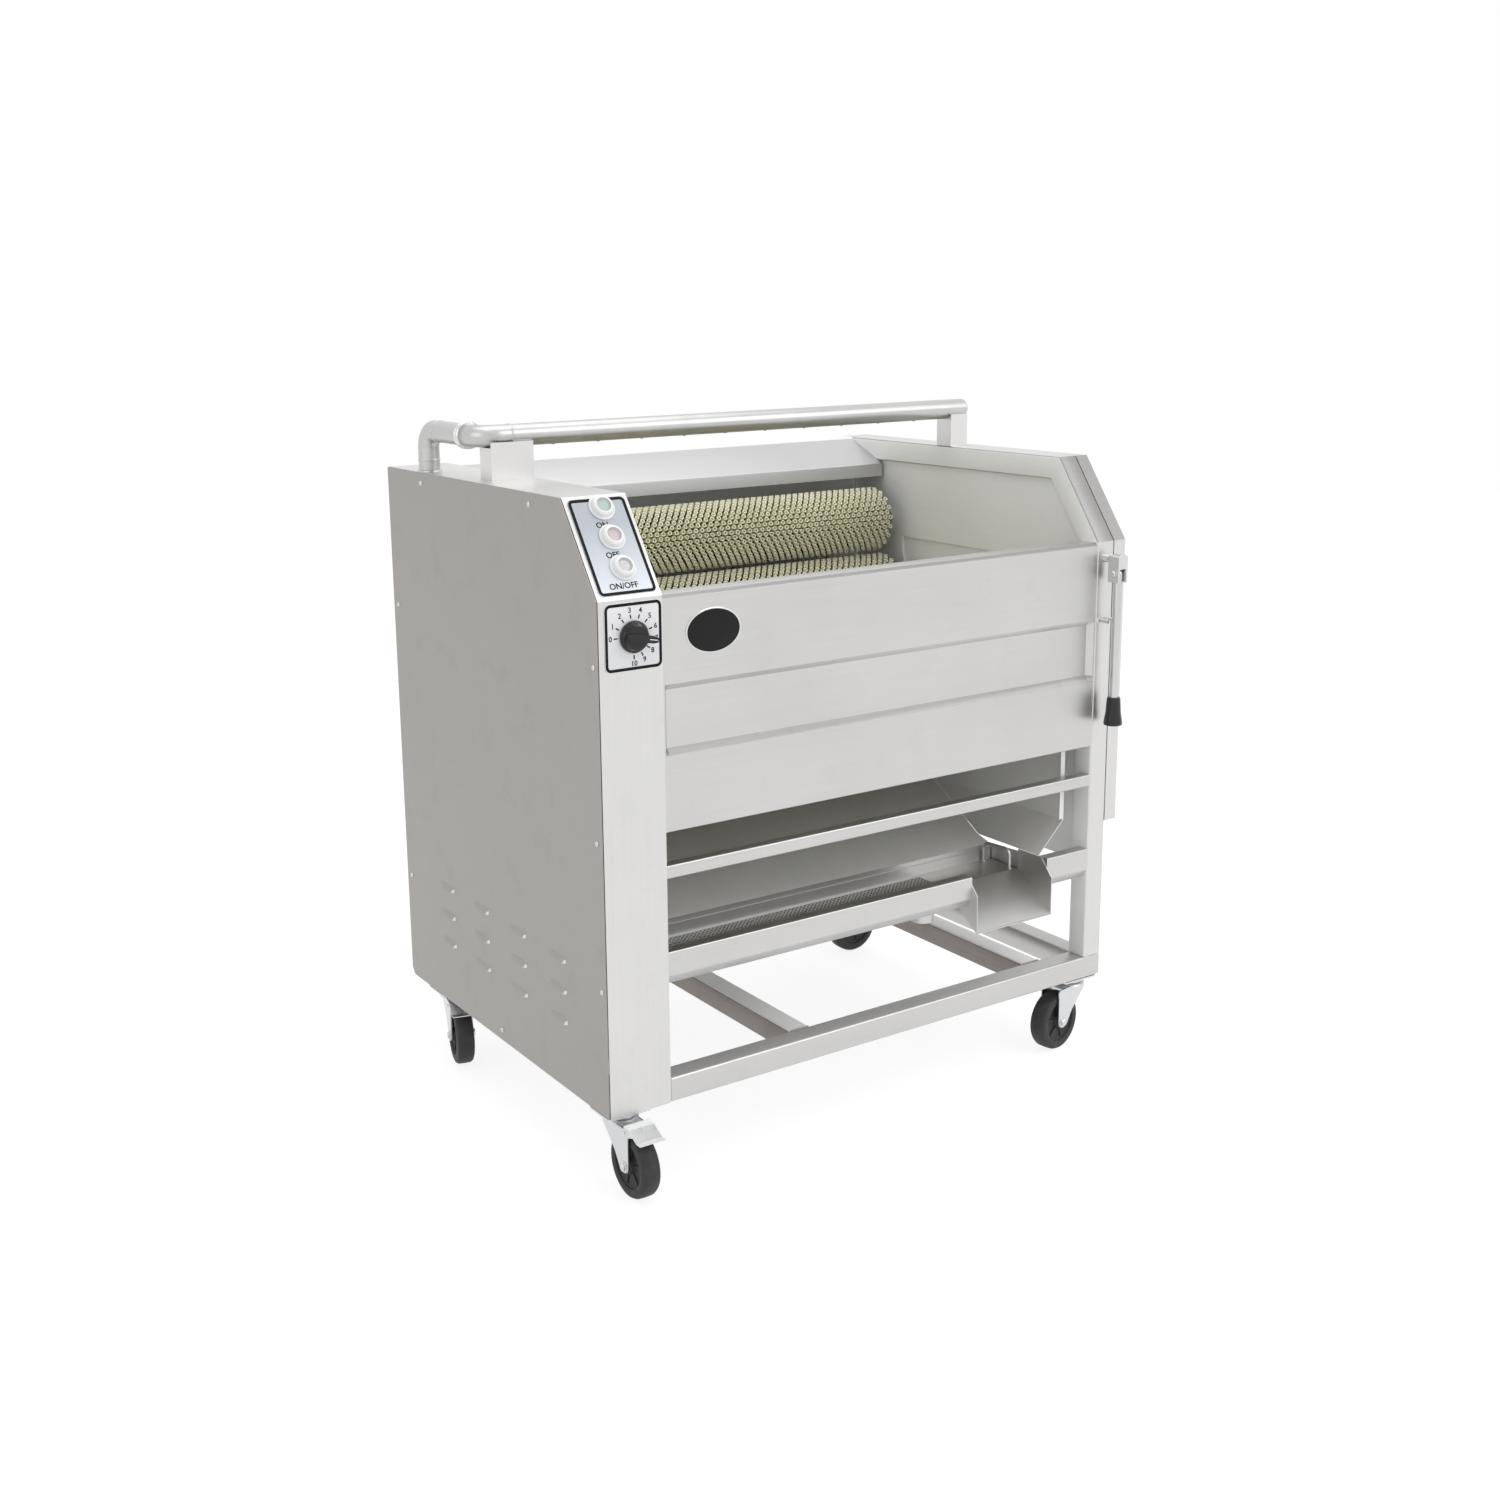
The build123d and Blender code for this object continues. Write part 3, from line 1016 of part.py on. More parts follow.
def brake_pedal(name):
    """The stamped brake pedal over the wheel: a tread, two cheeks outside the legs and a hinge pin."""
    y, z = PEDAL_PIN
    inner = FORK_HALF + FACE_GAP
    outer = inner + SHEET
    tread = [(y + a, z + b) for a, b in PEDAL_TREAD]
    pedal = prism_x(bent_strip(tread, SHEET), -outer, outer)
    cheek = [(y + a, z + b) for a, b in PEDAL_CHEEK]
    pedal += prism_x(cheek, -outer, -inner) + prism_x(cheek, inner, outer)
    pedal += rod((-outer, *PEDAL_PIN), (outer, *PEDAL_PIN), PEDAL_PIN_RADIUS)
    return castor_place(name) * pedal


# ---- Assembly ----
def build():
    """Every node's solids in the machine frame."""
    nodes = {
        "long_base_rails": [long_base_rail(0), long_base_rail(INNER_REAR)],
        "side_base_rails": [left_base_rail(), right_base_rail()],
        "cross_members": cross_members(),
        "right_end_frame": right_end_frame(),
        "rear_top_rail": rear_top_rail(),
        "housing_shell": housing_shell(),
        "bearing_wall": bearing_wall(),
        "side_panel": side_panel(),
        "panel_screws": panel_screws(),
        "roller_chains": roller_chains(),
        "roller_bearings": roller_bearings(),
        "gear_motor": gear_motor(),
        "drive_sprocket": drive_sprocket(),
        "end_panel": end_panel(),
        "bearing_cover": bearing_cover(),
        "gate_flap": gate_flap(),
        "gate_shaft": [gate_shaft(), lever_bolt()],
        "lever_prongs": lever_prongs(),
        "lever_rod": lever_rod(),
        "lever_grip": lever_grip(),
        "front_panel": front_panel(),
        "mid_rail": mid_rail(),
        "waste_gutter": waste_gutter(),
        "spout": spout(),
        "sieve": sieve(),
        "hopper_back_plate": hopper_back_plate(),
        "hopper_side_plate": hopper_side_plate(),
        "rear_panel": rear_panel(),
        "rear_cover": rear_cover(),
        "spray_manifold": spray_manifold(),
        "supply_pipe": supply_pipe(),
        "pipe_fittings": [pipe_union(), end_plug()],
        "pipe_brackets": pipe_brackets(),
        "control_plate": control_plate(),
        "push_switches": push_switches(),
        "button_boots": button_boots(),
        "dial_plate": dial_plate(),
        "speed_knob": speed_knob(),
        "speed_controls": [speed_control(), inverter()],
        "badge": badge(),
        "castor_plates": castor_plates(),
    }
    for index, name in enumerate(("white_button", "red_button", "green_button")):
        nodes[name] = button_cap(index)
    for index in range(ROLLER_COUNT):
        nodes[f"brush_roller_{index + 1}"] = brush_roller(index)
    for name in FORK_TURNS:
        nodes[f"{name}_fork"] = castor_fork(name)
        nodes[f"{name}_wheel"] = castor_wheel(name)
    for name in ("front_left", "rear_left"):
        nodes[f"{name}_pedal"] = brake_pedal(name)
    return nodes


def pieces(node):
    """The solids of one node as a flat list."""
    return [solid for one in (node if isinstance(node, list) else [node]) for solid in one.solids()]


def write(nodes):
    """Shift every node to the shared origin and write it."""
    os.makedirs("parts", exist_ok=True)
    boxes = [solid.bounding_box() for node in nodes.values() for solid in pieces(node)]
    low = [min(tuple(box.min)[axis] for box in boxes) for axis in range(3)]
    high = [max(tuple(box.max)[axis] for box in boxes) for axis in range(3)]
    shift = Pos(-(low[0] + high[0]) / 2, -(low[1] + high[1]) / 2, -low[2])
    print("machine frame limits", low, high)
    for name, node in nodes.items():
        export_step(Compound(children=[shift * solid for solid in pieces(node)]), f"parts/{name}.step")


write(build())
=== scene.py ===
"""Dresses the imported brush-roller peeler: finished sheet metal, brushes, controls, castors and a plain studio."""

from __future__ import annotations

import logging
import math
from collections.abc import Callable, Sequence
from dataclasses import dataclass, field
from enum import Enum

import bmesh
import bpy
from mathutils import Matrix, Vector

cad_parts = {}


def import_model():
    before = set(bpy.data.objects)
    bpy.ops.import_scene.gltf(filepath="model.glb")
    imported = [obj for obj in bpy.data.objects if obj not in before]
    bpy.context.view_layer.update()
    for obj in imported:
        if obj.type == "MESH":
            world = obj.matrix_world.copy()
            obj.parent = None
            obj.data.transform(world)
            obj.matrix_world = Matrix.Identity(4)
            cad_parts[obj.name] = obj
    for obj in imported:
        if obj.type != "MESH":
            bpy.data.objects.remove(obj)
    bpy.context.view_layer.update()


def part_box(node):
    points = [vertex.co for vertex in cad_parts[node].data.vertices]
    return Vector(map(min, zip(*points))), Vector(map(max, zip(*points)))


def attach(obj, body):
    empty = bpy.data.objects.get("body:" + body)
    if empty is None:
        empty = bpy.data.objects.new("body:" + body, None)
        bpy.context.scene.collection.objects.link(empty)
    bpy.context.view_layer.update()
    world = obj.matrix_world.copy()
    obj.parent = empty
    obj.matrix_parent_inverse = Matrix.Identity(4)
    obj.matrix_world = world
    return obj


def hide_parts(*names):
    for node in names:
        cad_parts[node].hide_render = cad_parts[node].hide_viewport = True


LOG = logging.getLogger("peeler")
MM = 0.001
INK = 0.3
ROOT = "machine"
FACING = 2.0
STRAIGHT = math.radians(179.8)
SHARP, SHARP_GROWN = math.radians(32), math.radians(38)
X_WAY, Y_WAY, Z_WAY = (1, 0, 0), (0, 1, 0), (0, 0, 1)
FORWARD, DOWN = (0, -1, 0), (0, 0, -1)
ORIGIN = (0, 0, 0)
Flat = list[tuple[float, float]]
Point = tuple[float, float, float]
Colour = tuple[float, float, float]


# ---- Node graphs ----
class Sock:
    """A node's output that takes part in plain arithmetic."""

    def __init__(self, graph: Graph, socket: bpy.types.NodeSocket) -> None:
        """Keep the graph and the socket."""
        self.graph = graph
        self.socket = socket

    def _with(self, operation: str, other: Sock | float, swapped: bool = False) -> Sock:
        """Join this value and another through a Math node."""
        first, second = (other, self) if swapped else (self, other)
        return self.graph.node("ShaderNodeMath", {"operation": operation}, {0: first, 1: second})

    def __add__(self, other: Sock | float) -> Sock:
        """Return the sum."""
        return self._with("ADD", other)

    __radd__ = __add__

    def __sub__(self, other: Sock | float) -> Sock:
        """Return the difference."""
        return self._with("SUBTRACT", other)

    def __rsub__(self, other: float) -> Sock:
        """Return a number less this value."""
        return self._with("SUBTRACT", other, swapped=True)

    def __mul__(self, other: Sock | float) -> Sock:
        """Return the product."""
        return self._with("MULTIPLY", other)

    __rmul__ = __mul__

    def __truediv__(self, other: Sock | float) -> Sock:
        """Return the quotient."""
        return self._with("DIVIDE", other)

    def __mod__(self, other: Sock | float) -> Sock:
        """Return the remainder."""
        return self._with("MODULO", other)

    def __pow__(self, other: Sock | float) -> Sock:
        """Return the power."""
        return self._with("POWER", other)

    def does(self, operation: str, other: Sock | float = 0.0) -> Sock:
        """Apply any other operation of the Math node."""
        return self._with(operation, other)

    def span(self, low: float, high: float, to_low: float = 0.0, to_high: float = 1.0) -> Sock:
        """Map a range of this value onto another, held at its ends."""
        values = {"From Min": low, "From Max": high, "To Min": to_low, "To Max": to_high, "Value": self}
        return self.graph.node("ShaderNodeMapRange", {"clamp": True}, values)


class Graph:
    """A node tree with one short call for every node."""

    def __init__(self, tree: bpy.types.NodeTree) -> None:
        """Start on an emptied tree."""
        self.tree = tree
        tree.nodes.clear()

    @staticmethod
    def find(sockets: bpy.types.bpy_prop_collection, key: str | int) -> bpy.types.NodeSocket:
        """Find a socket by its place, identifier or name."""
        if isinstance(key, int):
            return sockets[key]
        named = [one for one in sockets if one.identifier == key] or [one for one in sockets if one.name == key]
        return named[0]

    def node(
        self, kind: str, settings: dict | None = None, values: dict | None = None, out: str | int = 0
    ) -> Sock | bpy.types.Node:
        """Add a node.

        Args:
            kind: the node's type.
            settings: its properties, set first; "stops" are a ramp's (place, colour) pairs.
            values: numbers, colours or outputs for its inputs.
            out: the output to hand back.

        Returns:
            The chosen output, or the node itself where it has none.
        """
        made = self.tree.nodes.new(kind)
        for key, value in (settings or {}).items():
            if key == "stops":
                ramp = made.color_ramp.elements
                while len(ramp) < len(value):
                    ramp.new(1.0)
                for element, (place, colour) in zip(ramp, value):
                    element.position, element.color = place, (*colour, 1.0)
            else:
                setattr(made, key, value)
        for key, value in (values or {}).items():
            socket = self.find(made.inputs, key)
            if isinstance(value, Sock):
                self.tree.links.new(value.socket, socket)
            else:
                socket.default_value = (*value, 1.0) if socket.type == "RGBA" and len(value) == 3 else value
        return Sock(self, self.find(made.outputs, out)) if made.outputs else made

    def xyz(self, x: Sock | float = 0.0, y: Sock | float = 0.0, z: Sock | float = 0.0) -> Sock:
        """Join three values into a vector."""
        return self.node("ShaderNodeCombineXYZ", None, {"X": x, "Y": y, "Z": z})

    def part(self, vector: Sock, axis: str) -> Sock:
        """Return a vector's part along an axis."""
        return self.node("ShaderNodeSeparateXYZ", None, {"Vector": vector}, axis)

    def repeat(self, points: Sock, shape: Sock, **more: Sock) -> Sock:
        """Set a shape at every point, with a Rotation or Scale of its own where given."""
        return self.node("GeometryNodeInstanceOnPoints", None, {"Points": points, "Instance": shape, **more})

    def blend(self, low: Colour | Sock, high: Colour | Sock, share: Sock | float) -> Sock:
        """Mix two colours."""
        values = {"Factor_Float": share, "A_Color": low, "B_Color": high}
        return self.node("ShaderNodeMix", {"data_type": "RGBA"}, values, "Result_Color")

    def noise(
        self, scale: Point | float, detail: float = 3.0, roughness: float = 0.55, shift: Point = ORIGIN
    ) -> Sock:
        """Noise on Object coordinates, as many waves to the metre along each axis as scale says."""
        where = self.node("ShaderNodeTexCoord", out="Object")
        size = scale if isinstance(scale, tuple) else (scale,) * 3
        place = self.node("ShaderNodeMapping", None, {"Vector": where, "Scale": size, "Location": shift})
        values = {"Vector": place, "Scale": 1.0, "Detail": detail, "Roughness": roughness}
        return self.node("ShaderNodeTexNoise", None, values)

    def surface(self, shader: Sock) -> None:
        """End a material in a shader."""
        self.node("ShaderNodeOutputMaterial", None, {"Surface": shader})

    def principled(self, **values: object) -> Sock:
        """Add the main shader; an underscore in a name stands for a space."""
        named = {key.replace("_", " "): value for key, value in values.items()}
        return self.node("ShaderNodeBsdfPrincipled", None, named)

    def bump(self, height: Sock, strength: float, distance: float) -> Sock:
        """Turn a height into a normal."""
        return self.node("ShaderNodeBump", None, {"Height": height, "Strength": strength, "Distance": distance})


# ---- Finishes ----
class Grain(Enum):
    """The way the polishing lines of a sheet or tube run."""

    ALONG_X = (5.0, 700.0, 700.0)
    ALONG_Y = (700.0, 5.0, 700.0)
    ALONG_Z = (700.0, 700.0, 5.0)
    NONE = (420.0, 420.0, 420.0)


@dataclass(frozen=True)
class Finish:
    """A finish with a name that builds its material once."""

    name: str

    def material(self) -> bpy.types.Material:
        """Return the finish's material, made on first use."""
        name = "finish_" + self.name
        found = bpy.data.materials.get(name)
        if found is None:
            found = bpy.data.materials.new(name)
            found.use_nodes = True
            graph = Graph(found.node_tree)
            graph.surface(self.shade(graph))
        return found

    def shade(self, graph: Graph) -> Sock:
        """Return the finish's shader."""
        raise NotImplementedError


@dataclass(frozen=True)
class BrushedSteel(Finish):
    """Stainless steel with fine polishing lines, faint clouds and dull handling marks."""

    colour: Colour = (0.63, 0.625, 0.61)
    roughness: float = 0.36
    grain: Grain = Grain.ALONG_X
    soil: float = 0.10
    metallic: float = 1.0

    def shade(self, graph: Graph) -> Sock:
        """Return brushed metal."""
        line = graph.noise(self.grain.value, 4.0, 0.6)
        cloud = graph.noise(5.0, 4.0, 0.6, (3.1, 0.7, 1.9))
        smudge = graph.noise(17.0, 5.0, 0.7, (0.3, 5.2, 2.2)).span(0.55, 0.75)
        dark = tuple(part * (1 - self.soil) for part in self.colour)
        light = tuple(min(1.0, part * (1 + self.soil)) for part in self.colour)
        tone = line * 0.55 + cloud * 0.45
        colour = graph.blend(dark, light, tone.span(0.3, 0.7))
        colour = graph.blend(colour, dark, smudge * 0.5)
        rough = self.roughness + (line - 0.5) * 0.16 + (cloud - 0.5) * 0.14 + smudge * 0.06
        return graph.principled(
            Base_Color=colour,
            Metallic=self.metallic,
            Roughness=rough,
            Normal=graph.bump(line, 0.12, 0.0002),
        )


@dataclass(frozen=True)
class Zinc(Finish):
    """Bright zinc plate with faint spangle and dull patches."""

    colour: Colour = (0.72, 0.73, 0.74)
    roughness: float = 0.3

    def shade(self, graph: Graph) -> Sock:
        """Return plated metal."""
        cell = graph.node("ShaderNodeTexVoronoi", None, {"Scale": 160.0}, "Color")
        shade = graph.node("ShaderNodeSeparateColor", None, {"Color": cell})
        cloud = graph.noise(45.0, 4.0, 0.6)
        dark = tuple(part * 0.84 for part in self.colour)
        colour = graph.blend(dark, self.colour, shade * 0.4 + cloud * 0.6)
        rough = self.roughness + (cloud - 0.5) * 0.25
        return graph.principled(
            Base_Color=colour, Metallic=1.0, Roughness=rough, Normal=graph.bump(cloud, 0.08, 0.0004)
        )


@dataclass(frozen=True)
class Polished(Finish):
    """Smooth turned or drawn metal with faint lines."""

    colour: Colour = (0.74, 0.74, 0.73)
    roughness: float = 0.16

    def shade(self, graph: Graph) -> Sock:
        """Return polished metal."""
        haze = graph.noise(60.0, 4.0, 0.6)
        line = graph.noise((900.0, 900.0, 60.0), 3.0)
        colour = graph.blend(tuple(part * 0.86 for part in self.colour), self.colour, haze)
        rough = self.roughness + (haze - 0.5) * 0.16 + (line - 0.5) * 0.06
        return graph.principled(
            Base_Color=colour, Metallic=1.0, Roughness=rough, Normal=graph.bump(line, 0.05, 0.0001)
        )


@dataclass(frozen=True)
class Cast(Finish):
    """Cast or painted metal with a fine pebbled skin."""

    colour: Colour = (0.42, 0.43, 0.44)
    roughness: float = 0.55
    metallic: float = 0.6

    def shade(self, graph: Graph) -> Sock:
        """Return cast metal."""
        pebble = graph.noise(420.0, 3.0)
        cloud = graph.noise(12.0, 4.0)
        colour = graph.blend(tuple(part * 0.75 for part in self.colour), self.colour, cloud.span(0.3, 0.65))
        rough = self.roughness + (pebble - 0.5) * 0.2
        return graph.principled(
            Base_Color=colour, Metallic=self.metallic, Roughness=rough, Normal=graph.bump(pebble, 0.3, 0.0004)
        )


@dataclass(frozen=True)
class Rubber(Finish):
    """Black rubber with a dusty bloom and rubbed marks."""

    colour: Colour = (0.021, 0.021, 0.023)
    dust: Colour = (0.085, 0.083, 0.08)
    roughness: float = 0.62

    def shade(self, graph: Graph) -> Sock:
        """Return rubber."""
        bloom = graph.noise(38.0, 5.0, 0.65)
        speck = graph.noise(600.0, 2.0)
        colour = graph.blend(self.colour, self.dust, bloom.span(0.45, 0.8) * 0.55)
        rough = self.roughness + (bloom - 0.5) * 0.3
        return graph.principled(Base_Color=colour, Roughness=rough, Normal=graph.bump(speck, 0.22, 0.0003))


@dataclass(frozen=True)
class Plastic(Finish):
    """Moulded plastic with a faint orange-peel skin."""

    colour: Colour = (0.02, 0.02, 0.02)
    roughness: float = 0.25
    coat: float = 0.0
    alpha: float = 1.0
    gloss: float = 0.5

    def shade(self, graph: Graph) -> Sock:
        """Return plastic."""
        peel = graph.noise(700.0, 2.0)
        cloud = graph.noise(50.0, 4.0)
        light = tuple(min(1.0, part * 1.12 + 0.004) for part in self.colour)
        values = {
            "Base_Color": graph.blend(self.colour, light, cloud),
            "Roughness": self.roughness + (cloud - 0.5) * 0.12,
            "Normal": graph.bump(peel, 0.06, 0.0002),
            "Coat_Weight": self.coat,
            "Alpha": self.alpha,
            "Specular_IOR_Level": self.gloss,
        }
        return graph.principled(**values)


@dataclass(frozen=True)
class PlateFilm(Finish):
    """A satin printed film whose tone runs from one height to another."""

    low: Colour = (0.6, 0.62, 0.65)
    high: Colour = (0.8, 0.81, 0.83)
    heights: tuple[float, float] = (0.0, 1.0)
    roughness: float = 0.32
    metallic: float = 0.35

    def shade(self, graph: Graph) -> Sock:
        """Return printed film."""
        height = graph.part(graph.node("ShaderNodeTexCoord", out="Object"), "Z")
        sheen = graph.noise((40.0, 40.0, 9.0), 3.0)
        share = height.span(*self.heights) * 0.8 + sheen * 0.2
        speck = graph.noise(800.0, 2.0)
        return graph.principled(
            Base_Color=graph.blend(self.low, self.high, share),
            Metallic=self.metallic,
            Roughness=self.roughness + (sheen - 0.5) * 0.1,
            Normal=graph.bump(speck, 0.05, 0.0002),
        )


@dataclass(frozen=True)
class Bristle(Finish):
    """Nylon tufts: dark at the root, olive yellow in the body and paler at the tip."""
    # Nylon tufts, olive yellow in the body, with painted shade at the root and in the tip's hollow, painted light at
    # the tip and a painted highlight on the tip's rim.

    # root: painted shade deep between the tufts
    root: Colour = (0.012, 0.012, 0.008)
    body: Colour = (0.84, 0.82, 0.5)
    # tip: painted light on the lit tips
    tip: Colour = (0.95, 0.95, 0.86)
    # rim: painted highlight on the tip's rim
    rim: Colour = (1.0, 0.97, 0.7)

    def shade(self, graph: Graph) -> Sock:
        """Return bristle."""
        rise = graph.node("ShaderNodeAttribute", {"attribute_name": "rise"}, None, "Fac")
        hollow = graph.node("ShaderNodeAttribute", {"attribute_name": "hollow"}, None, "Fac")
        strand = graph.noise(1500.0, 2.0)
        patch = graph.noise(24.0, 3.0)
        # painted shade: the tufts darken towards the root, where shade falls between them
        colour = graph.blend(self.root, self.body, rise.span(0.12, 0.5))
        # painted light: paler towards the lit tip
        colour = graph.blend(colour, self.tip, rise.span(0.6, 0.92))
        # painted highlight on the tip's rim
        colour = graph.blend(colour, self.rim, rise.span(0.97, 1.0))
        # painted shade in the tip's hollow
        dark = tuple(part * 0.55 for part in self.body)
        colour = graph.blend(colour, dark, hollow.span(0.1, 0.8))
        colour = graph.blend(colour, tuple(part * 0.7 for part in self.body), (strand * patch).span(0.2, 0.45) * 0.3)
        return graph.principled(
            Base_Color=colour, Roughness=0.42 + strand * 0.16, Normal=graph.bump(strand, 0.3, 0.0005)
        )


class Finishes:
    """Every finish of the machine, by the place that it is used in; several steels are lit and shaded copies of one
    steel, with light and shade painted into their colour.
    """

    front = BrushedSteel("steel_front", (0.6, 0.595, 0.585), 0.38, Grain.ALONG_X, 0.06)
    # painted shade: a darker copy of the steel for the left-facing side sheets
    side = BrushedSteel("steel_side", (0.37, 0.356, 0.342), 0.42, Grain.ALONG_Z, 0.06)
    # also the painted highlight on the louvres' front-facing ends
    upright = BrushedSteel("steel_upright", (0.68, 0.675, 0.665), 0.36, Grain.ALONG_Z, 0.06)
    deep = BrushedSteel("steel_deep", (0.72, 0.715, 0.705), 0.36, Grain.ALONG_Y, 0.06)
    # painted shade: a darker copy of the steel for upward slanted faces
    slope = BrushedSteel("steel_slope", (0.34, 0.335, 0.33), 0.42, Grain.ALONG_X, 0.12)
    # painted shade: a darker copy of the steel for the base loop's top faces
    ledge = BrushedSteel("steel_ledge", (0.56, 0.555, 0.55), 0.45, Grain.ALONG_X, 0.12, 0.7)
    # painted light: a near-white, barely metallic copy of the steel for recessed, shadowed and upward faces
    satin = BrushedSteel("steel_satin", (0.9, 0.9, 0.895), 0.5, Grain.ALONG_Y, 0.04, 0.1)
    cover = BrushedSteel("steel_cover", (0.56, 0.56, 0.565), 0.4, Grain.ALONG_X, 0.04)
    # painted shade: a darker copy of the steel for the louvres' rear-facing faces
    louvre = BrushedSteel("steel_louvre", (0.30, 0.29, 0.28), 0.42, Grain.ALONG_Z, 0.06)
    # painted shade: a dark brown copy of the steel for the crossings' sides
    beam = BrushedSteel("steel_beam", (0.27, 0.245, 0.225), 0.45, Grain.ALONG_Y, 0.2)
    # painted light: a near-white, barely metallic copy of the steel for the shadowed inner plates
    inner = BrushedSteel("steel_inner", (0.86, 0.855, 0.845), 0.5, Grain.ALONG_X, 0.06, 0.12)
    sieve = BrushedSteel("steel_sieve", (0.36, 0.355, 0.345), 0.42, Grain.ALONG_X, 0.1)
    weld = BrushedSteel("steel_weld", (0.5, 0.48, 0.45), 0.45, Grain.NONE, 0.25)
    pipe = BrushedSteel("steel_pipe", (0.55, 0.55, 0.545), 0.34, Grain.ALONG_X, 0.15, 0.85)
    zinc = Zinc("zinc_plate")
    bright = Polished("bright_steel")
    rod = Polished("polished_rod", (0.66, 0.66, 0.66), 0.2)
    screw = Polished("screw_steel", (0.64, 0.64, 0.64), 0.28)
    chain = Cast("chain_steel", (0.2, 0.2, 0.21), 0.4, 0.9)
    cast = Cast("cast_housing")
    tyre = Rubber("tyre_rubber")
    grip = Plastic("grip_plastic", (0.012, 0.012, 0.013), 0.28, 0.2, gloss=0.35)
    knob = Plastic("knob_plastic", (0.008, 0.008, 0.009), 0.22, 0.15, gloss=0.35)
    ink = Plastic("black_ink", (0.006, 0.006, 0.006), 0.45, gloss=0.15)
    badge = Plastic("badge_black", (0.004, 0.004, 0.004), 0.2, gloss=0.25)
    boot = Plastic("milky_boot", (0.86, 0.87, 0.87), 0.3, 0.2, 0.94)
    window = Plastic("clear_boot", (0.9, 0.9, 0.9), 0.2, 0.0, 0.34)
    white_cap = Plastic("white_cap", (0.82, 0.82, 0.82), 0.35)
    red_cap = Plastic("red_cap", (0.74, 0.42, 0.46), 0.35)
    green_cap = Plastic("green_cap", (0.1, 0.56, 0.4), 0.35)
    switch = Plastic("switch_body", (0.3, 0.3, 0.31), 0.4)
    bristle = Bristle("brush_bristle")
    # the sleeve's near-black colour also stands in for the shade in the gaps between the tufts
    core = Plastic("brush_core", (0.012, 0.012, 0.009), 0.6, gloss=0.2)


# ---- Mesh making, in the machine's own millimetres ----
def machine_to_frame() -> Matrix:
    """Return the transform from machine millimetres to the frame's metres."""
    low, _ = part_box("housing_shell")
    return Matrix.Translation(Vector(low) - Vector((1.5, 0.0, 122.0)) * MM) @ Matrix.Scale(MM, 4)


def arc(before: Vector, here: Vector, after: Vector, radius: float, steps: int) -> list[Vector]:
    """Return the points of the arc that rounds a corner, or the corner itself where nothing bends."""
    back, ahead = (before - here).normalized(), (after - here).normalized()
    half = back.angle(ahead) / 2
    if not (radius and steps) or half > STRAIGHT / 2:
        return [here]
    reach = radius / math.tan(half)
    centre = here + (back + ahead).normalized() * (radius / math.sin(half))
    start, end = here + back * reach - centre, here + ahead * reach - centre
    return [centre + start.slerp(end, n / steps, start) * radius for n in range(steps + 1)]


def round_line(points: Flat, radii: Sequence[float], steps: int = 3, closed: bool = False) -> Flat:
    """Round the corners of a line.

    Args:
        points: the line's corners.
        radii: one radius for each corner; ends of an open line keep theirs unused.
        steps: arc points between the two ends of each arc.
        closed: whether the last corner joins the first.

    Returns:
        The rounded line.
    """
    made: Flat = []
    count = len(points)
    for i, point in enumerate(points):
        if not closed and i in (0, count - 1):
            made.append(point)
            continue
        near = (Vector(points[n % count]) for n in (i - 1, i, i + 1))
        made.extend(tuple(one) for one in arc(*near, radii[i], steps))
    return made


def box_outline(width: float, height: float, radius: float, steps: int = 3) -> Flat:
    """Return a rectangle about the origin with rounded corners."""
    w, h = width / 2, height / 2
    return round_line([(-w, -h), (w, -h), (w, h), (-w, h)], [radius] * 4, steps, closed=True)


def circle(radius: float, count: int) -> Flat:
    """Return the points of a circle about the origin."""
    turns = (2 * math.pi * n / count for n in range(count))
    return [(radius * math.cos(turn), radius * math.sin(turn)) for turn in turns]


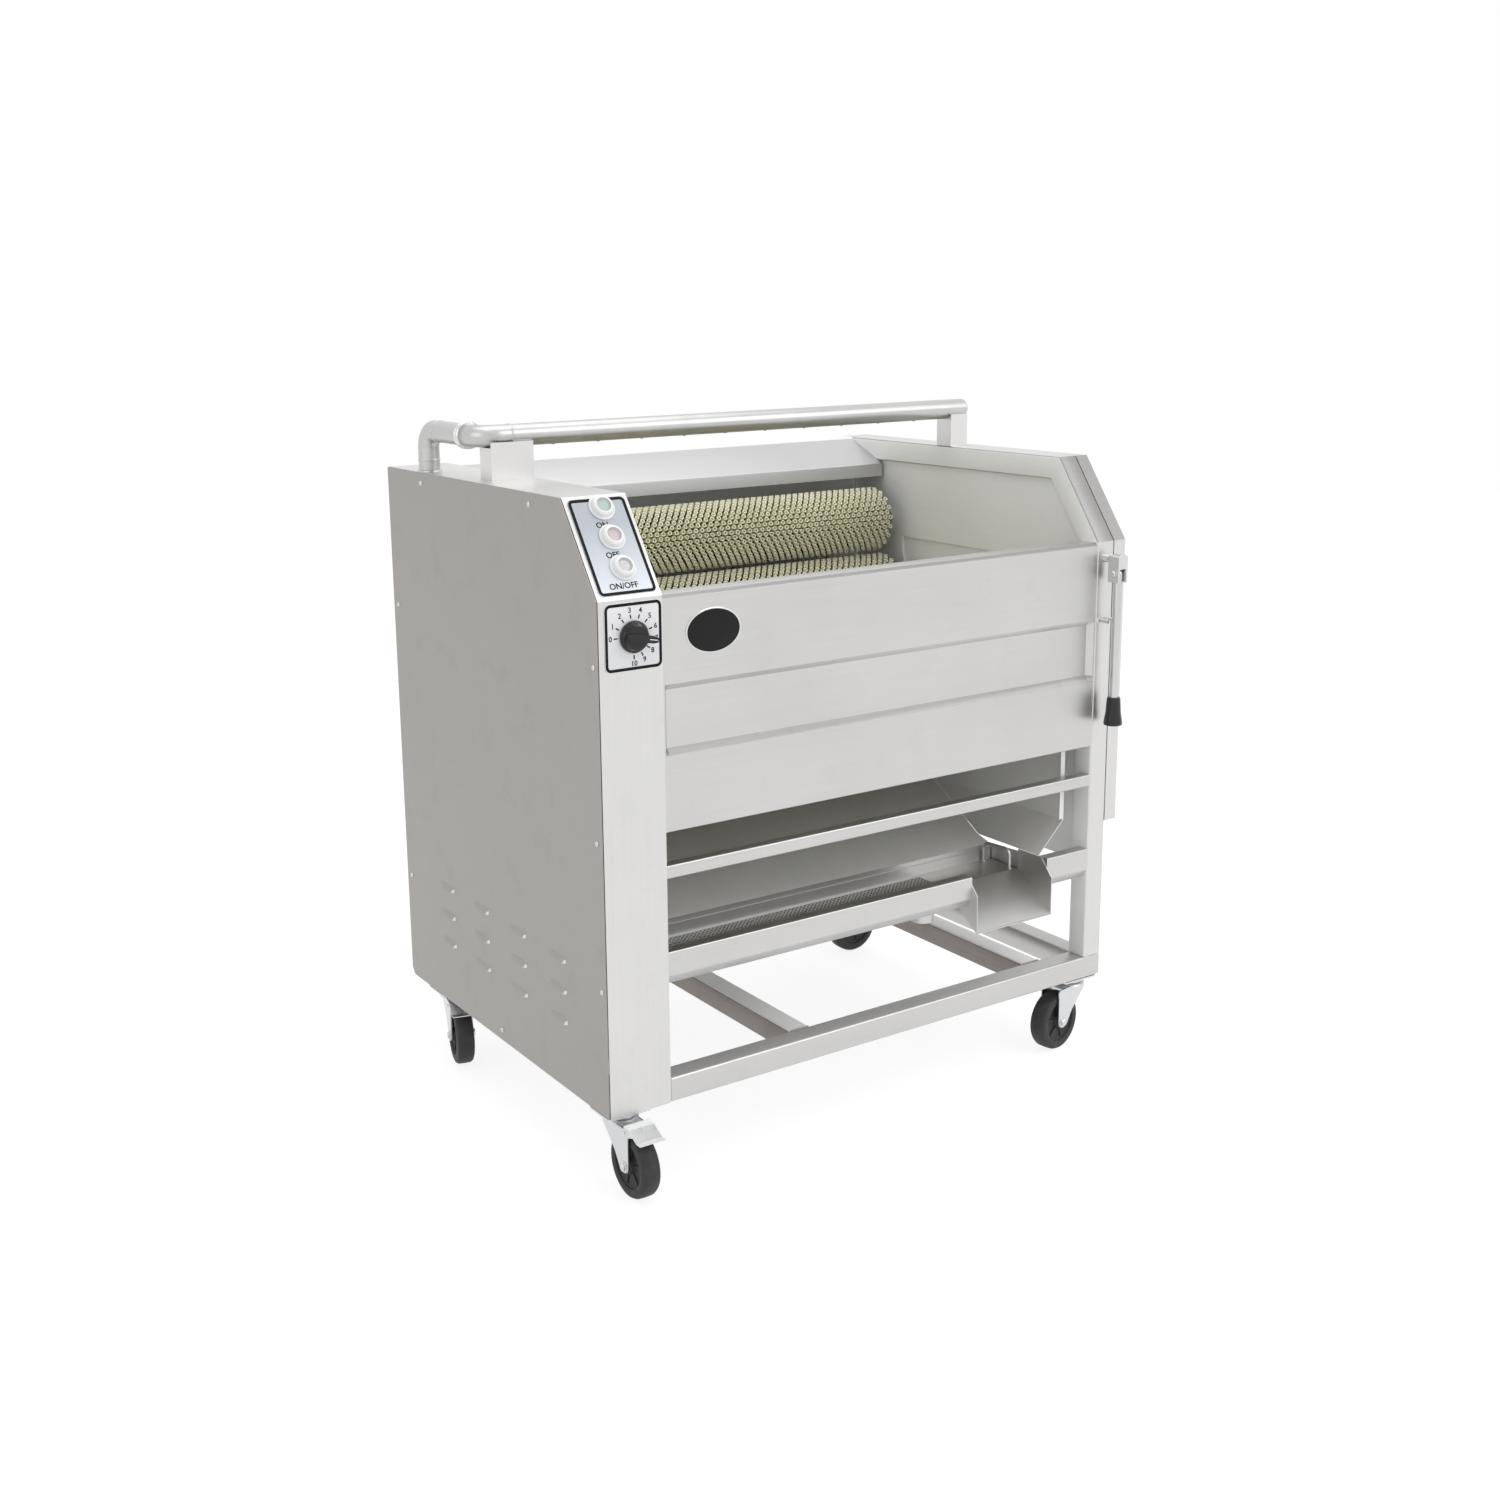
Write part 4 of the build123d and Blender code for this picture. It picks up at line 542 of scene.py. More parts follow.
class Shape:
    """A mesh being made from rows of points."""

    def __init__(self) -> None:
        """Start empty."""
        self.points: list[Vector] = []
        self.faces: list[tuple[int, ...]] = []
        self.finish_of: list[int] = []
        self.finish = 0

    def face(self, corners: Sequence[int]) -> None:
        """Keep one face with the finish in use."""
        self.faces.append(tuple(corners))
        self.finish_of.append(self.finish)

    def add(self, other: Shape) -> Shape:
        """Take over another shape's points and faces."""
        base = len(self.points)
        self.points += other.points
        self.faces += [tuple(base + corner for corner in face) for face in other.faces]
        self.finish_of += other.finish_of
        return self

    def rows(self, rows: Sequence[Sequence[Vector]], wrap: bool = True, caps: bool = True, ring: bool = False) -> Shape:
        """Join rows of points with faces.

        Args:
            rows: rows of equal length.
            wrap: whether each row closes on itself.
            caps: whether the first and last rows are filled.
            ring: whether the last row joins the first.
        """
        base, width = len(self.points), len(rows[0])
        for row in rows:
            self.points.extend(Vector(point) for point in row)
        turns = len(rows) if ring else len(rows) - 1
        for r in range(turns):
            low, high = base + r * width, base + (r + 1) % len(rows) * width
            for c in range(width if wrap else width - 1):
                n = (c + 1) % width
                self.face((low + c, low + n, high + n, high + c))
        if caps and not ring:
            self.face(range(base + width - 1, base - 1, -1))
            self.face(range(base + (len(rows) - 1) * width, base + len(rows) * width))
        return self

    def prism(self, outline: Flat, low: float, high: float, axis: int) -> Shape:
        """Run an outline along an axis; it is given in the other two axes, in order."""
        others = [n for n in range(3) if n != axis]
        rows = []
        for place in (low, high):
            row = []
            for a, b in outline:
                point = [0.0, 0.0, 0.0]
                point[axis], point[others[0]], point[others[1]] = place, a, b
                row.append(Vector(point))
            rows.append(row)
        return self.rows(rows)

    def block(self, low: Point, high: Point, radius: float = 0.0, axis: int = 0) -> Shape:
        """Add a box whose edges along one axis are rounded."""
        others = [n for n in range(3) if n != axis]
        sizes = [high[n] - low[n] for n in others]
        middle = [(high[n] + low[n]) / 2 for n in others]
        outline = box_outline(*sizes, max(radius, 0.01), 3 if radius else 1)
        return self.prism([(a + middle[0], b + middle[1]) for a, b in outline], low[axis], high[axis], axis)

    def sheet(self, stations: Sequence[tuple[float, Flat, Flat]]) -> Shape:
        """Add a folded sheet from its outer and inner lines at places along x."""
        outer = [[Vector((x, *point)) for point in line] for x, line, _ in stations]
        inner = [[Vector((x, *point)) for point in line] for x, _, line in stations]
        for columns in (outer, inner):
            self.rows(columns, wrap=False, caps=False)
        for end in (0, -1):
            self.rows([outer[end], inner[end]], wrap=False, caps=False)
            self.rows([[row[end] for row in outer], [row[end] for row in inner]], wrap=False, caps=False)
        return self

    def sweep(self, path: Sequence[Point], outline: Flat, side: Point) -> Shape:
        """Run an outline along a path in a plane, with mitred corners.

        Args:
            path: the path's corners.
            outline: points (across the path in its plane, along the plane's normal).
            side: the plane's normal.
        """
        spine = [Vector(point) for point in path]
        normal = Vector(side).normalized()
        rows = []
        for i, here in enumerate(spine):
            ways = [(spine[n + 1] - spine[n]).normalized() for n in (i - 1, i) if 0 <= n < len(spine) - 1]
            tangent = sum(ways, Vector()).normalized()
            across = tangent.cross(normal)
            stretch = 1 / max(0.2, tangent.dot(ways[0]))
            rows.append([here + across * (a * stretch) + normal * b for a, b in outline])
        return self.rows(rows)

    def lathe(self, profile: Flat, centre: Point, axis: Point, count: int = 32, caps: bool = True) -> Shape:
        """Turn a profile of (distance along, radius) about an axis through a centre."""
        turn = Vector((0, 0, 1)).rotation_difference(Vector(axis)).to_matrix()
        rows = [
            [Vector(centre) + turn @ Vector((a, b, along)) for a, b in circle(max(radius, 0.01), count)]
            for along, radius in profile
        ]
        return self.rows(rows, caps=caps)

    def tube(self, profile: Flat, centre: Point, axis: Point, count: int) -> Shape:
        """Turn a closed profile about an axis, with an opening through its middle."""
        base = len(self.points)
        self.lathe(profile, centre, axis, count, caps=False)
        return self.rows([self.points[base:base + count], self.points[-count:]], caps=False)

    def rod(self, start: Point, end: Point, radius: float, count: int = 20, edge: float = 0.0) -> Shape:
        """Add a round bar with chamfered ends."""
        way = Vector(end) - Vector(start)
        run = way.length
        profile = [(0, radius), (run, radius)]
        if edge:
            profile = [(0, radius - edge), (edge, radius), (run - edge, radius), (run, radius - edge)]
        return self.lathe(profile, start, tuple(way), count)

    def wire(self, path: Sequence[Point], radius: float, bend: float, count: int = 16, steps: int = 6) -> Shape:
        """Add a round bar along a path with rounded corners."""
        corners = [Vector(point) for point in path]
        spine = [corners[0]]
        for three in zip(corners, corners[1:], corners[2:]):
            spine += arc(*three, bend, steps)
        spine.append(corners[-1])
        rows = []
        across = None
        for i, here in enumerate(spine):
            ahead = spine[min(i + 1, len(spine) - 1)] - spine[max(i - 1, 0)]
            tangent = ahead.normalized()
            across = tangent.orthogonal() if across is None else across - tangent * across.dot(tangent)
            across.normalize()
            other = tangent.cross(across)
            rows.append([here + across * a + other * b for a, b in circle(radius, count)])
        return self.rows(rows)

    def moved(self, matrix: Matrix) -> Shape:
        """Move every point made so far."""
        self.points = [matrix @ point for point in self.points]
        return self


def link(name: str, data: bpy.types.ID) -> bpy.types.Object:
    """Put a new object in the scene."""
    made = bpy.data.objects.new(name, data)
    bpy.context.scene.collection.objects.link(made)
    return made


def evaluated(holder: bpy.types.Object) -> bpy.types.Mesh:
    """Return a plain mesh of what an object shows."""
    bpy.context.view_layer.update()
    return bpy.data.meshes.new_from_object(holder.evaluated_get(bpy.context.evaluated_depsgraph_get()))


class Maker:
    """Turns shapes into finished pieces that ride on the machine's bodies."""

    def __init__(self) -> None:
        """Take the frame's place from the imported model."""
        self.to_frame = machine_to_frame()

    def mesh(self, name: str, shape: Shape) -> bpy.types.Mesh:
        """Make a closed, outward-facing mesh from a shape."""
        mesh = bpy.data.meshes.new(name)
        mesh.from_pydata([tuple(self.to_frame @ point) for point in shape.points], [], shape.faces)
        mesh.polygons.foreach_set("material_index", shape.finish_of)
        work = bmesh.new()
        work.from_mesh(mesh)
        bmesh.ops.remove_doubles(work, verts=work.verts, dist=1e-6)
        bmesh.ops.recalc_face_normals(work, faces=work.faces)
        work.to_mesh(mesh)
        work.free()
        mesh.shade_smooth()
        mesh.set_sharp_from_angle(angle=SHARP)
        return mesh

    def piece(
        self,
        name: str,
        shape: Shape | bpy.types.Mesh,
        finishes: Finish | Sequence[Finish],
        body: str = ROOT,
        slot: str = "stainless",
        nodes: Sequence[str] = (),
        bevel: float = 0.0,
    ) -> bpy.types.Object:
        """Make a piece and fix it to its body.

        Args:
            name: the piece's name.
            shape: its shape, or a mesh already in the frame's metres.
            finishes: one finish, or one for each finish number of the shape.
            body: the body it moves with.
            slot: the record's material slot; not used.
            nodes: the nodes that it stands for.
            bevel: how far its sharp edges are broken, in millimetres.

        Returns:
            The new object.
        """
        mesh = self.mesh(name, shape) if isinstance(shape, Shape) else shape
        made = link(name, mesh)
        if not isinstance(shape, Shape):
            mesh.materials.clear()
        for finish in [finishes] if isinstance(finishes, Finish) else finishes:
            mesh.materials.append(finish.material())
        if isinstance(shape, Shape) and len(mesh.polygons) == len(shape.faces):
            mesh.polygons.foreach_set("material_index", shape.finish_of)
        if bevel:
            edge = made.modifiers.new("broken_edges", "BEVEL")
            edge.width, edge.segments = bevel * MM, 2
            edge.limit_method, edge.angle_limit = "ANGLE", math.radians(50)
            edge.harden_normals = True
        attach(made, body)
        if nodes:
            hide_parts(*nodes)
        LOG.info("%s: %d faces on %s", name, len(mesh.polygons), body)
        return made

    def grow(
        self,
        name: str,
        sizes: dict[str, float | int],
        wire: Callable[[Graph, dict[str, Sock], Sock], Sock],
        finish: Finish,
        base: Shape | Sequence[Point] = (),
        body: str = ROOT,
        slot: str = "stainless",
        nodes: Sequence[str] = (),
    ) -> bpy.types.Object:
        """Make a piece with a Geometry Nodes tree.

        Args:
            name: the name of the tree and mesh.
            sizes: named inputs with their values.
            wire: lays the tree and returns its geometry.
            finish: the finish of the result.
            base: the shape or points that the tree starts from.
            body: the body it moves with.
            slot: the record's material slot.
            nodes: the nodes that it stands for.

        Returns:
            The new object, with a plain mesh.
        """
        tree = bpy.data.node_groups.new(name, "GeometryNodeTree")
        panel = tree.interface
        panel.new_socket("Geometry", in_out="INPUT", socket_type="NodeSocketGeometry")
        panel.new_socket("Geometry", in_out="OUTPUT", socket_type="NodeSocketGeometry")
        identifiers = {}
        for key, value in sizes.items():
            kind = "NodeSocketInt" if isinstance(value, int) else "NodeSocketFloat"
            identifiers[key] = panel.new_socket(key, in_out="INPUT", socket_type=kind).identifier
        graph = Graph(tree)
        source = tree.nodes.new("NodeGroupInput")
        inputs = {key: Sock(graph, Graph.find(source.outputs, key)) for key in sizes}
        result = wire(graph, inputs, Sock(graph, source.outputs[0]))
        result = graph.node("GeometryNodeRealizeInstances", None, {"Geometry": result})
        result = graph.node("GeometryNodeSetMaterial", None, {"Geometry": result, "Material": finish.material()})
        graph.node("NodeGroupOutput", None, {0: result})
        mesh = bpy.data.meshes.new(name + "_base")
        points, faces = (base.points, base.faces) if isinstance(base, Shape) else (base, [])
        mesh.from_pydata([tuple(point) for point in points], [], faces)
        holder = link(name + "_holder", mesh)
        modifier = holder.modifiers.new(name, "NODES")
        modifier.node_group = tree
        for key, value in sizes.items():
            modifier[identifiers[key]] = value
        made = evaluated(holder)
        holder.modifiers.clear()
        bpy.data.objects.remove(holder)
        made.name = name
        made.transform(self.to_frame)
        made.shade_smooth()
        made.set_sharp_from_angle(angle=SHARP_GROWN)
        return self.piece(name, made, finish, body, slot, nodes)

    def dress(self, node: str, finish: Finish) -> None:
        """Give a node that keeps its own shape a finish."""
        materials = bpy.data.objects[node].data.materials
        if not materials:
            materials.append(finish.material())
        for n in range(len(materials)):
            materials[n] = finish.material()

    def slopes(self, piece: bpy.types.Object, finish: Finish, low: float, high: float = FACING, axis: int = 2) -> None:
        """Give the faces whose normal lies between low and high along an axis another finish, a lighter or darker copy
        of the steel that paints light and shade by the way each face looks.
        """
        piece.data.materials.append(finish.material())
        for polygon in piece.data.polygons:
            if low <= polygon.normal[axis] <= high:
                polygon.material_index = len(piece.data.materials) - 1

    def copy(
        self, node: str, name: str, finish: Finish, body: str = ROOT, slot: str = "stainless", bevel: float = 0.5,
        foot: float | None = None,
    ) -> bpy.types.Object:
        """Stand a copy of a node in its place, with its flats joined and its edges broken.

        A height given as foot is where its lower end is cut off.
        """
        source = bpy.data.objects[node]
        mesh = source.data.copy()
        work = bmesh.new()
        work.from_mesh(mesh)
        bmesh.ops.remove_doubles(work, verts=work.verts, dist=2e-6)
        bmesh.ops.dissolve_limit(
            work, angle_limit=math.radians(1.5), verts=work.verts, edges=work.edges, use_dissolve_boundaries=False
        )
        if foot is not None:
            cut = bmesh.ops.bisect_plane(
                work, geom=[*work.verts, *work.edges, *work.faces], plane_no=(0, 0, 1), clear_inner=True,
                plane_co=self.to_frame @ Vector((0, 0, foot)),
            )
            edges = [one for one in cut["geom_cut"] if isinstance(one, bmesh.types.BMEdge)]
            bmesh.ops.holes_fill(work, edges=edges)
        work.to_mesh(mesh)
        work.free()
        mesh.shade_smooth()
        mesh.set_sharp_from_angle(angle=SHARP)
        return self.piece(name, mesh, finish, body, slot, [node], bevel)


# ---- Sub-assemblies ----
@dataclass
class BodyOutline:
    """The side outline that the housing, the end frame and the end sheets share."""

    depth: float = 688.0
    top: float = 1008.0
    run: float = 93.8
    rise: float = 132.2
    bottom: float = 122.0

    @property
    def angle(self) -> float:
        """Return the control face's slope."""
        return math.atan2(self.rise, self.run)

    def points(self, inset: float = 0.0, bottom: float | None = None) -> Flat:
        """Return the outline in (y, z), moved inwards by inset, from the front bottom round to the back bottom."""
        low = self.bottom if bottom is None else bottom
        sine, cosine = math.sin(self.angle), math.cos(self.angle)
        bend = self.top - self.rise - inset * (1 - sine) / cosine
        front = (inset + (self.rise - inset) * cosine) / sine
        rear, top = self.depth - inset, self.top - inset
        return [(inset, low), (inset, bend), (front, top), (rear, top), (rear, low)]

    def on_face(self, x: float, s: float, height: float) -> Matrix:
        """Return the place on the control face, s up its slope and a height above it, with z outwards."""
        up = Vector((0, math.cos(self.angle), math.sin(self.angle)))
        out = Vector((0, -math.sin(self.angle), math.cos(self.angle)))
        place = Vector((x, 0, self.top - self.rise)) + up * s + out * height
        turn = Matrix((Vector((1, 0, 0)), up, out)).transposed()
        return Matrix.Translation(place) @ turn.to_4x4()


def fold(line: Flat, thickness: float, radius: float = 2.6, steps: int = 3) -> tuple[Flat, Flat]:
    """Fold a sheet along a line.

    Args:
        line: the sheet's left-hand face in (y, z).
        thickness: the sheet's thickness, to the right of the line; less than 0 for the left.
        radius: the outside radius of each bend.
        steps: arc points in each bend.

    Returns:
        The two faces, point for point.
    """
    radii = [0.0]
    for i in range(1, len(line) - 1):
        before, after = Vector(line[i]) - Vector(line[i - 1]), Vector(line[i + 1]) - Vector(line[i])
        inwards = before.cross(after) * thickness < 0
        radii.append(radius if inwards else radius - abs(thickness))
    radii.append(0.0)
    rounded = [Vector(point) for point in round_line(line, radii, steps)]
    other: Flat = []
    for i, point in enumerate(rounded):
        ways = [rounded[n + 1] - rounded[n] for n in (i - 1, i) if 0 <= n < len(rounded) - 1]
        normals = [Vector((way.y, -way.x)).normalized() for way in ways if way.length > 1e-6]
        bisector = sum(normals, Vector((0.0, 0.0))).normalized()
        shift = bisector * (thickness / max(0.3, bisector.dot(normals[0])))
        other.append((point.x + shift.x, point.y + shift.y))
    return [tuple(point) for point in rounded], other


def folded(shape: Shape, line: Flat, thickness: float, x0: float, x1: float, radius: float = 2.6) -> Shape:
    """Add a sheet folded along a line, run from x0 to x1."""
    faces = fold(line, thickness, radius)
    return shape.sheet([(x0, *faces), (x1, *faces)])


@dataclass
class BaseFrame:
    """The welded base of square tube and its cross members."""

    tube: float = 38.0
    width: float = 976.0
    depth: float = 688.0
    low: float = 122.0
    housing: float = 104.0
    crossings: tuple[float, float] = (344.6, 831.6)

    def build(self, make: Maker) -> None:
        """Make the base loop and what crosses it."""
        half, middle = self.tube / 2, self.low + self.tube / 2
        tube = box_outline(self.tube, self.tube, 4.0)
        right, rear = self.width - half, self.depth - half
        loop = [
            (self.housing, half, middle), (right, half, middle), (right, rear, middle), (self.housing, rear, middle)
        ]
        shape = Shape().sweep(loop, tube, Z_WAY)
        loop = make.piece("base_loop", shape, Finishes.front, nodes=["long_base_rails"], bevel=3.0)
        # painted shade on the loop's top faces
        make.slopes(loop, Finishes.ledge, 0.9)
        shape = Shape()
        for x in self.crossings:
            place = [(x + half, self.tube - 0.5, middle), (x + half, self.depth - self.tube + 0.5, middle)]
            shape.sweep(place, tube, Z_WAY)
        # painted shade on the crossings' sides, painted light on their tops
        crossings = make.piece("base_crossings", shape, Finishes.beam, slot="stainless_dark", nodes=["cross_members"])
        make.slopes(crossings, Finishes.satin, 0.5)
        shape = Shape().sweep([(1.5 + half, 2.0, middle), (1.5 + half, self.depth - 2.0, middle)], tube, Z_WAY)
        make.piece("base_left_rail", shape, Finishes.deep, nodes=["side_base_rails"])
        self.welds(make)

    def welds(self, make: Maker) -> None:
        """Lay ground weld beads where tubes meet."""
        shape = Shape()
        for x in self.crossings:
            for y in (self.tube, self.depth - self.tube):
                bead = [(x + 2, y, self.low + self.tube), (x + self.tube - 2, y, self.low + self.tube)]
                shape.wire(bead, 1.3, 1.0, 8)
                for side in (x, x + self.tube):
                    shape.wire([(side, y, self.low + 2), (side, y, self.low + self.tube - 2)], 1.3, 1.0, 8)
        make.piece("base_welds", shape, Finishes.weld)


@dataclass
class EndFrame:
    """The right end's hoop of square tube, its recessed sheet and the outer cover."""

    outline: BodyOutline
    tube: float = 38.0
    left: float = 938.0
    right: float = 976.0
    sheet_foot: float = 326.0

    def build(self, make: Maker) -> None:
        """Make the hoop and the sheets of the right end."""
        line = self.outline.points(self.tube / 2, 160.0)
        middle = (self.left + self.right) / 2
        path = [(middle, y, z) for y, z in line]
        shape = Shape()
        tube = box_outline(self.tube, self.tube, 3.5)
        shape.sweep(path, tube, X_WAY)
        hoop = make.piece("end_hoop", shape, Finishes.upright, nodes=["right_end_frame"], bevel=1.2)
        # painted shade on the hoop's upward slanted faces, painted light on its inward faces
        make.slopes(hoop, Finishes.slope, 0.3, 0.85)
        make.slopes(hoop, Finishes.satin, -FACING, -0.8, 0)
        # painted light: the end sheet is lightened
        make.copy("end_panel", "end_sheet", Finishes.satin, foot=self.sheet_foot)
        cover = make.copy("bearing_cover", "outer_cover", Finishes.upright, bevel=1.6)
        # painted shade on the cover's upward slanted faces
        make.slopes(cover, Finishes.slope, 0.3, 0.85)
        shape = Shape()
        rear = self.outline.depth - self.tube / 2
        top = self.outline.top - self.tube / 2
        shape.sweep([(104.0, rear, top), (self.left + 1, rear, top)], tube, Z_WAY)
        # painted light: the rear rail is lightened where it sits in shade
        make.piece("rear_rail", shape, Finishes.satin, nodes=["rear_top_rail"])


@dataclass
class DriveHousing:
    """The drive housing: folded band, louvred side sheet, screws and inner wall."""

    outline: BodyOutline
    width: float = 104.0
    sheet: float = 1.5
    louvre_length: float = 54.0
    louvre_height: float = 10.0
    louvre_depth: float = 4.5
    first: tuple[float, float] = (118.0, 226.0)
    pitch: tuple[float, float] = (126.7, 48.0)
    columns: int = 4
    rows: int = 3
    screws: tuple[tuple[float, float], ...] = (
        (556, 991), (187, 991), (669, 780), (12, 784), (669, 307), (15, 533), (12, 314), (339, 140),
    )

    def build(self, make: Maker) -> None:
        """Make the housing's sheets and what is on them."""
        shape = folded(Shape(), self.outline.points(), self.sheet, self.sheet + 0.6, self.width, 3.0)
        make.piece("housing_band", shape, Finishes.upright, nodes=["housing_shell"])
        corners = self.outline.points(0.7)
        rear = corners[4][0]
        corners = [(0.7, 122.7), *corners[1:4], (rear, 134.0), (rear - 11, 122.7)]
        shape = Shape().prism(round_line(corners, [0.8] * 6, 2, closed=True), 0.0, self.sheet, 0)
        # painted shade: the left side sheet is darkened through the side finish
        make.piece("louvred_side", shape, Finishes.side, nodes=["side_panel"], bevel=0.45)
        self.louvres(make)
        self.screw_heads(make)
        # painted light: the inner wall is lightened
        make.dress("bearing_wall", Finishes.inner)

    def louvres(self, make: Maker) -> None:
        """Press the louvres: soft hoods that open downwards, with a painted highlight on their front ends and painted
        shade on their rear faces.
        """

        def wire(graph: Graph, size: dict[str, Sock], _: Sock) -> Sock:
            """Lay a hood from a grid and set one at each place."""
            grid = graph.node(
                "GeometryNodeMeshGrid", None, {"Size X": 1.0, "Size Y": 1.0, "Vertices X": 25, "Vertices Y": 9}
            )
            where = graph.node("GeometryNodeInputPosition")
            u = graph.part(where, "X") * 2.0
            v = graph.part(where, "Y") + 0.5
            ends = (1.0 - u.does("ABSOLUTE").does("POWER", 5.0)).does("MAXIMUM", 0.0)
            slope = (1.0 - (v.span(0.12, 1.0) ** 1.6)).does("MAXIMUM", 0.0)
            lift = ends * slope * v.span(0.0, 0.02)
            out = graph.xyz(lift * size["Depth"] * -1.0 - 0.05, u * size["Length"] * 0.5, (v - 0.06) * size["Height"])
            hood = graph.node("GeometryNodeSetPosition", None, {"Geometry": grid, "Position": out})
            place = graph.node("GeometryNodeMeshGrid", None, {
                "Size X": size["Pitch Y"] * (size["Columns"] - 1), "Size Y": size["Pitch Z"] * (size["Rows"] - 1),
                "Vertices X": size["Columns"], "Vertices Y": size["Rows"],
            })
            turned = graph.node("GeometryNodeTransform", None, {
                "Geometry": place, "Rotation": (math.pi / 2, 0.0, math.pi / 2),
            })
            moved = graph.node("GeometryNodeTransform", None, {
                "Geometry": turned, "Translation": graph.xyz(0.0, size["Middle Y"], size["Middle Z"]),
            })
            return graph.repeat(moved, hood)

        sizes = {
            "Length": self.louvre_length, "Height": self.louvre_height, "Depth": self.louvre_depth,
            "Pitch Y": self.pitch[0], "Pitch Z": self.pitch[1], "Columns": self.columns, "Rows": self.rows,
            "Middle Y": self.first[0] + self.pitch[0] * (self.columns - 1) / 2 + self.louvre_length / 2,
            "Middle Z": self.first[1] + self.pitch[1] * (self.rows - 1) / 2,
        }
        hoods = make.grow("louvre_hoods", sizes, wire, Finishes.side)
        if sum(polygon.normal.x for polygon in hoods.data.polygons) > 0:
            hoods.data.flip_normals()
        # painted highlight on the hoods' front-facing faces, painted shade on their rear-facing faces
        make.slopes(hoods, Finishes.upright, -FACING, -0.3, 1)
        make.slopes(hoods, Finishes.louvre, 0.3, FACING, 1)

    def screw_heads(self, make: Maker) -> None:
        """Set a domed screw head at each screw's place."""

        def wire(graph: Graph, size: dict[str, Sock], places: Sock) -> Sock:
            """Flatten a ball into a dome and set one at each point."""
            ball = graph.node("GeometryNodeMeshUVSphere", None, {"Segments": 20, "Rings": 10, "Radius": size["Radius"]})
            flat = graph.node("GeometryNodeTransform", None, {
                "Geometry": ball, "Scale": graph.xyz(size["Height"] / size["Radius"], 1.0, 1.0),
            })
            return graph.repeat(places, flat)

        places = [(0.0, y, z) for y, z in self.screws]
        sizes = {"Radius": 4.3, "Height": 2.6}
        make.grow("screw_heads", sizes, wire, Finishes.screw, places, slot="bright_steel", nodes=["panel_screws"])


class Mark(Enum):
    """The mark beside a push button."""

    BOTH = "ON/OFF"
    OFF = "OFF"
    ON = "ON"


@dataclass
class ControlFace:
    """The control plate with its marks, bezels, caps and clear boots."""

    outline: BodyOutline
    plate_x: tuple[float, float] = (8.0, 99.0)
    plate_s: tuple[float, float] = (6.0, 157.0)
    button_x: float = 58.0
    letter_size: float = 12.5
    buttons: tuple[tuple[str, float, Mark], ...] = (
        ("white_button", 46.6, Mark.BOTH), ("red_button", 94.4, Mark.OFF), ("green_button", 141.5, Mark.ON),
    )

    def build(self, make: Maker) -> None:
        """Make the plate and its three buttons."""
        (x0, x1), (s0, s1) = self.plate_x, self.plate_s
        middle = self.outline.on_face((x0 + x1) / 2, (s0 + s1) / 2, 0)
        width, length = x1 - x0, s1 - s0
        shape = Shape().prism(box_outline(width, length, 7.0, 5), 0.0, 1.0, 2).moved(middle)
        film = PlateFilm("control_film", (0.74, 0.79, 0.84), (0.42, 0.46, 0.5), (0.88, 0.97))
        make.piece("control_film", shape, film, slot="silver_plate", nodes=["control_plate"], bevel=0.25)
        shape = border(width - 1.2, length - 1.2, 7.6, 4.6, 0.0, 1.25).moved(middle)
        make.piece("control_border", shape, Finishes.ink, slot="black_plate")
        for name, s, mark in self.buttons:
            self.button(make, name, s)
            self.mark(make, name, s, mark)
        make.dress("push_switches", Finishes.switch)

    def button(self, make: Maker, name: str, s: float) -> None:
        """Make one button's bezel, cap and boot."""
        place = self.outline.on_face(self.button_x, s, 0)
        profile = [(1.0, 0.01), (1.0, 13.0), (4.6, 13.0), (5.0, 12.6), (5.0, 9.9), (1.05, 9.9), (1.05, 0.01)]
        bezel = Shape().lathe(profile, ORIGIN, Z_WAY, 40).moved(place)
        make.piece(name + "_bezel", bezel, Finishes.bright, slot="bright_steel")
        profile = [(-6.0, 0.01), (-6.0, 9.5), (5.6, 9.5), (6.5, 9.1), (7.0, 8.3), (6.75, 5.0), (6.6, 0.01)]
        cap = Shape().lathe(profile, ORIGIN, Z_WAY, 40).moved(place)
        finish = {
            "white_button": Finishes.white_cap, "red_button": Finishes.red_cap, "green_button": Finishes.green_cap
        }
        slot = name.split("_")[0] + "_cap"
        make.piece(name + "_cap", cap, finish[name], name, slot, [name])
        rise = [(1.0, 14.4), (1.0, 19.6), (1.8, 20.0), (3.0, 19.7), (3.9, 17.4), (5.6, 16.7), (8.2, 16.0), (9.9, 14.2)]
        rise += [(10.7, 12.4), (10.9, 10.8), (10.95, 4.0), (11.0, 0.01)]
        inner = [(8.0, 0.01), (8.0, 11.2), (7.2, 13.2), (5.6, 14.2)]
        boot = Shape().tube(rise + inner, ORIGIN, Z_WAY, 48)
        for n, face in enumerate(boot.faces):
            high = [Vector(boot.points[corner]) for corner in face]
            if all(point.z > 7.9 and Vector((point.x, point.y)).length < 11.5 for point in high):
                boot.finish_of[n] = 1
        owned = ["button_boots"] if name == "white_button" else []
        finishes = [Finishes.boot, Finishes.window]
        make.piece(name + "_boot", boot.moved(place), finishes, slot="clear_boot", nodes=owned)

    def mark(self, make: Maker, name: str, s: float, mark: Mark) -> None:
        """Print the mark below a button."""
        place = self.outline.on_face(self.button_x - 8, s - 27.5, 1.0)
        shape = lettering(mark.value, self.letter_size, INK).moved(place)
        make.piece(name + "_mark", shape, Finishes.ink, slot="black_plate")


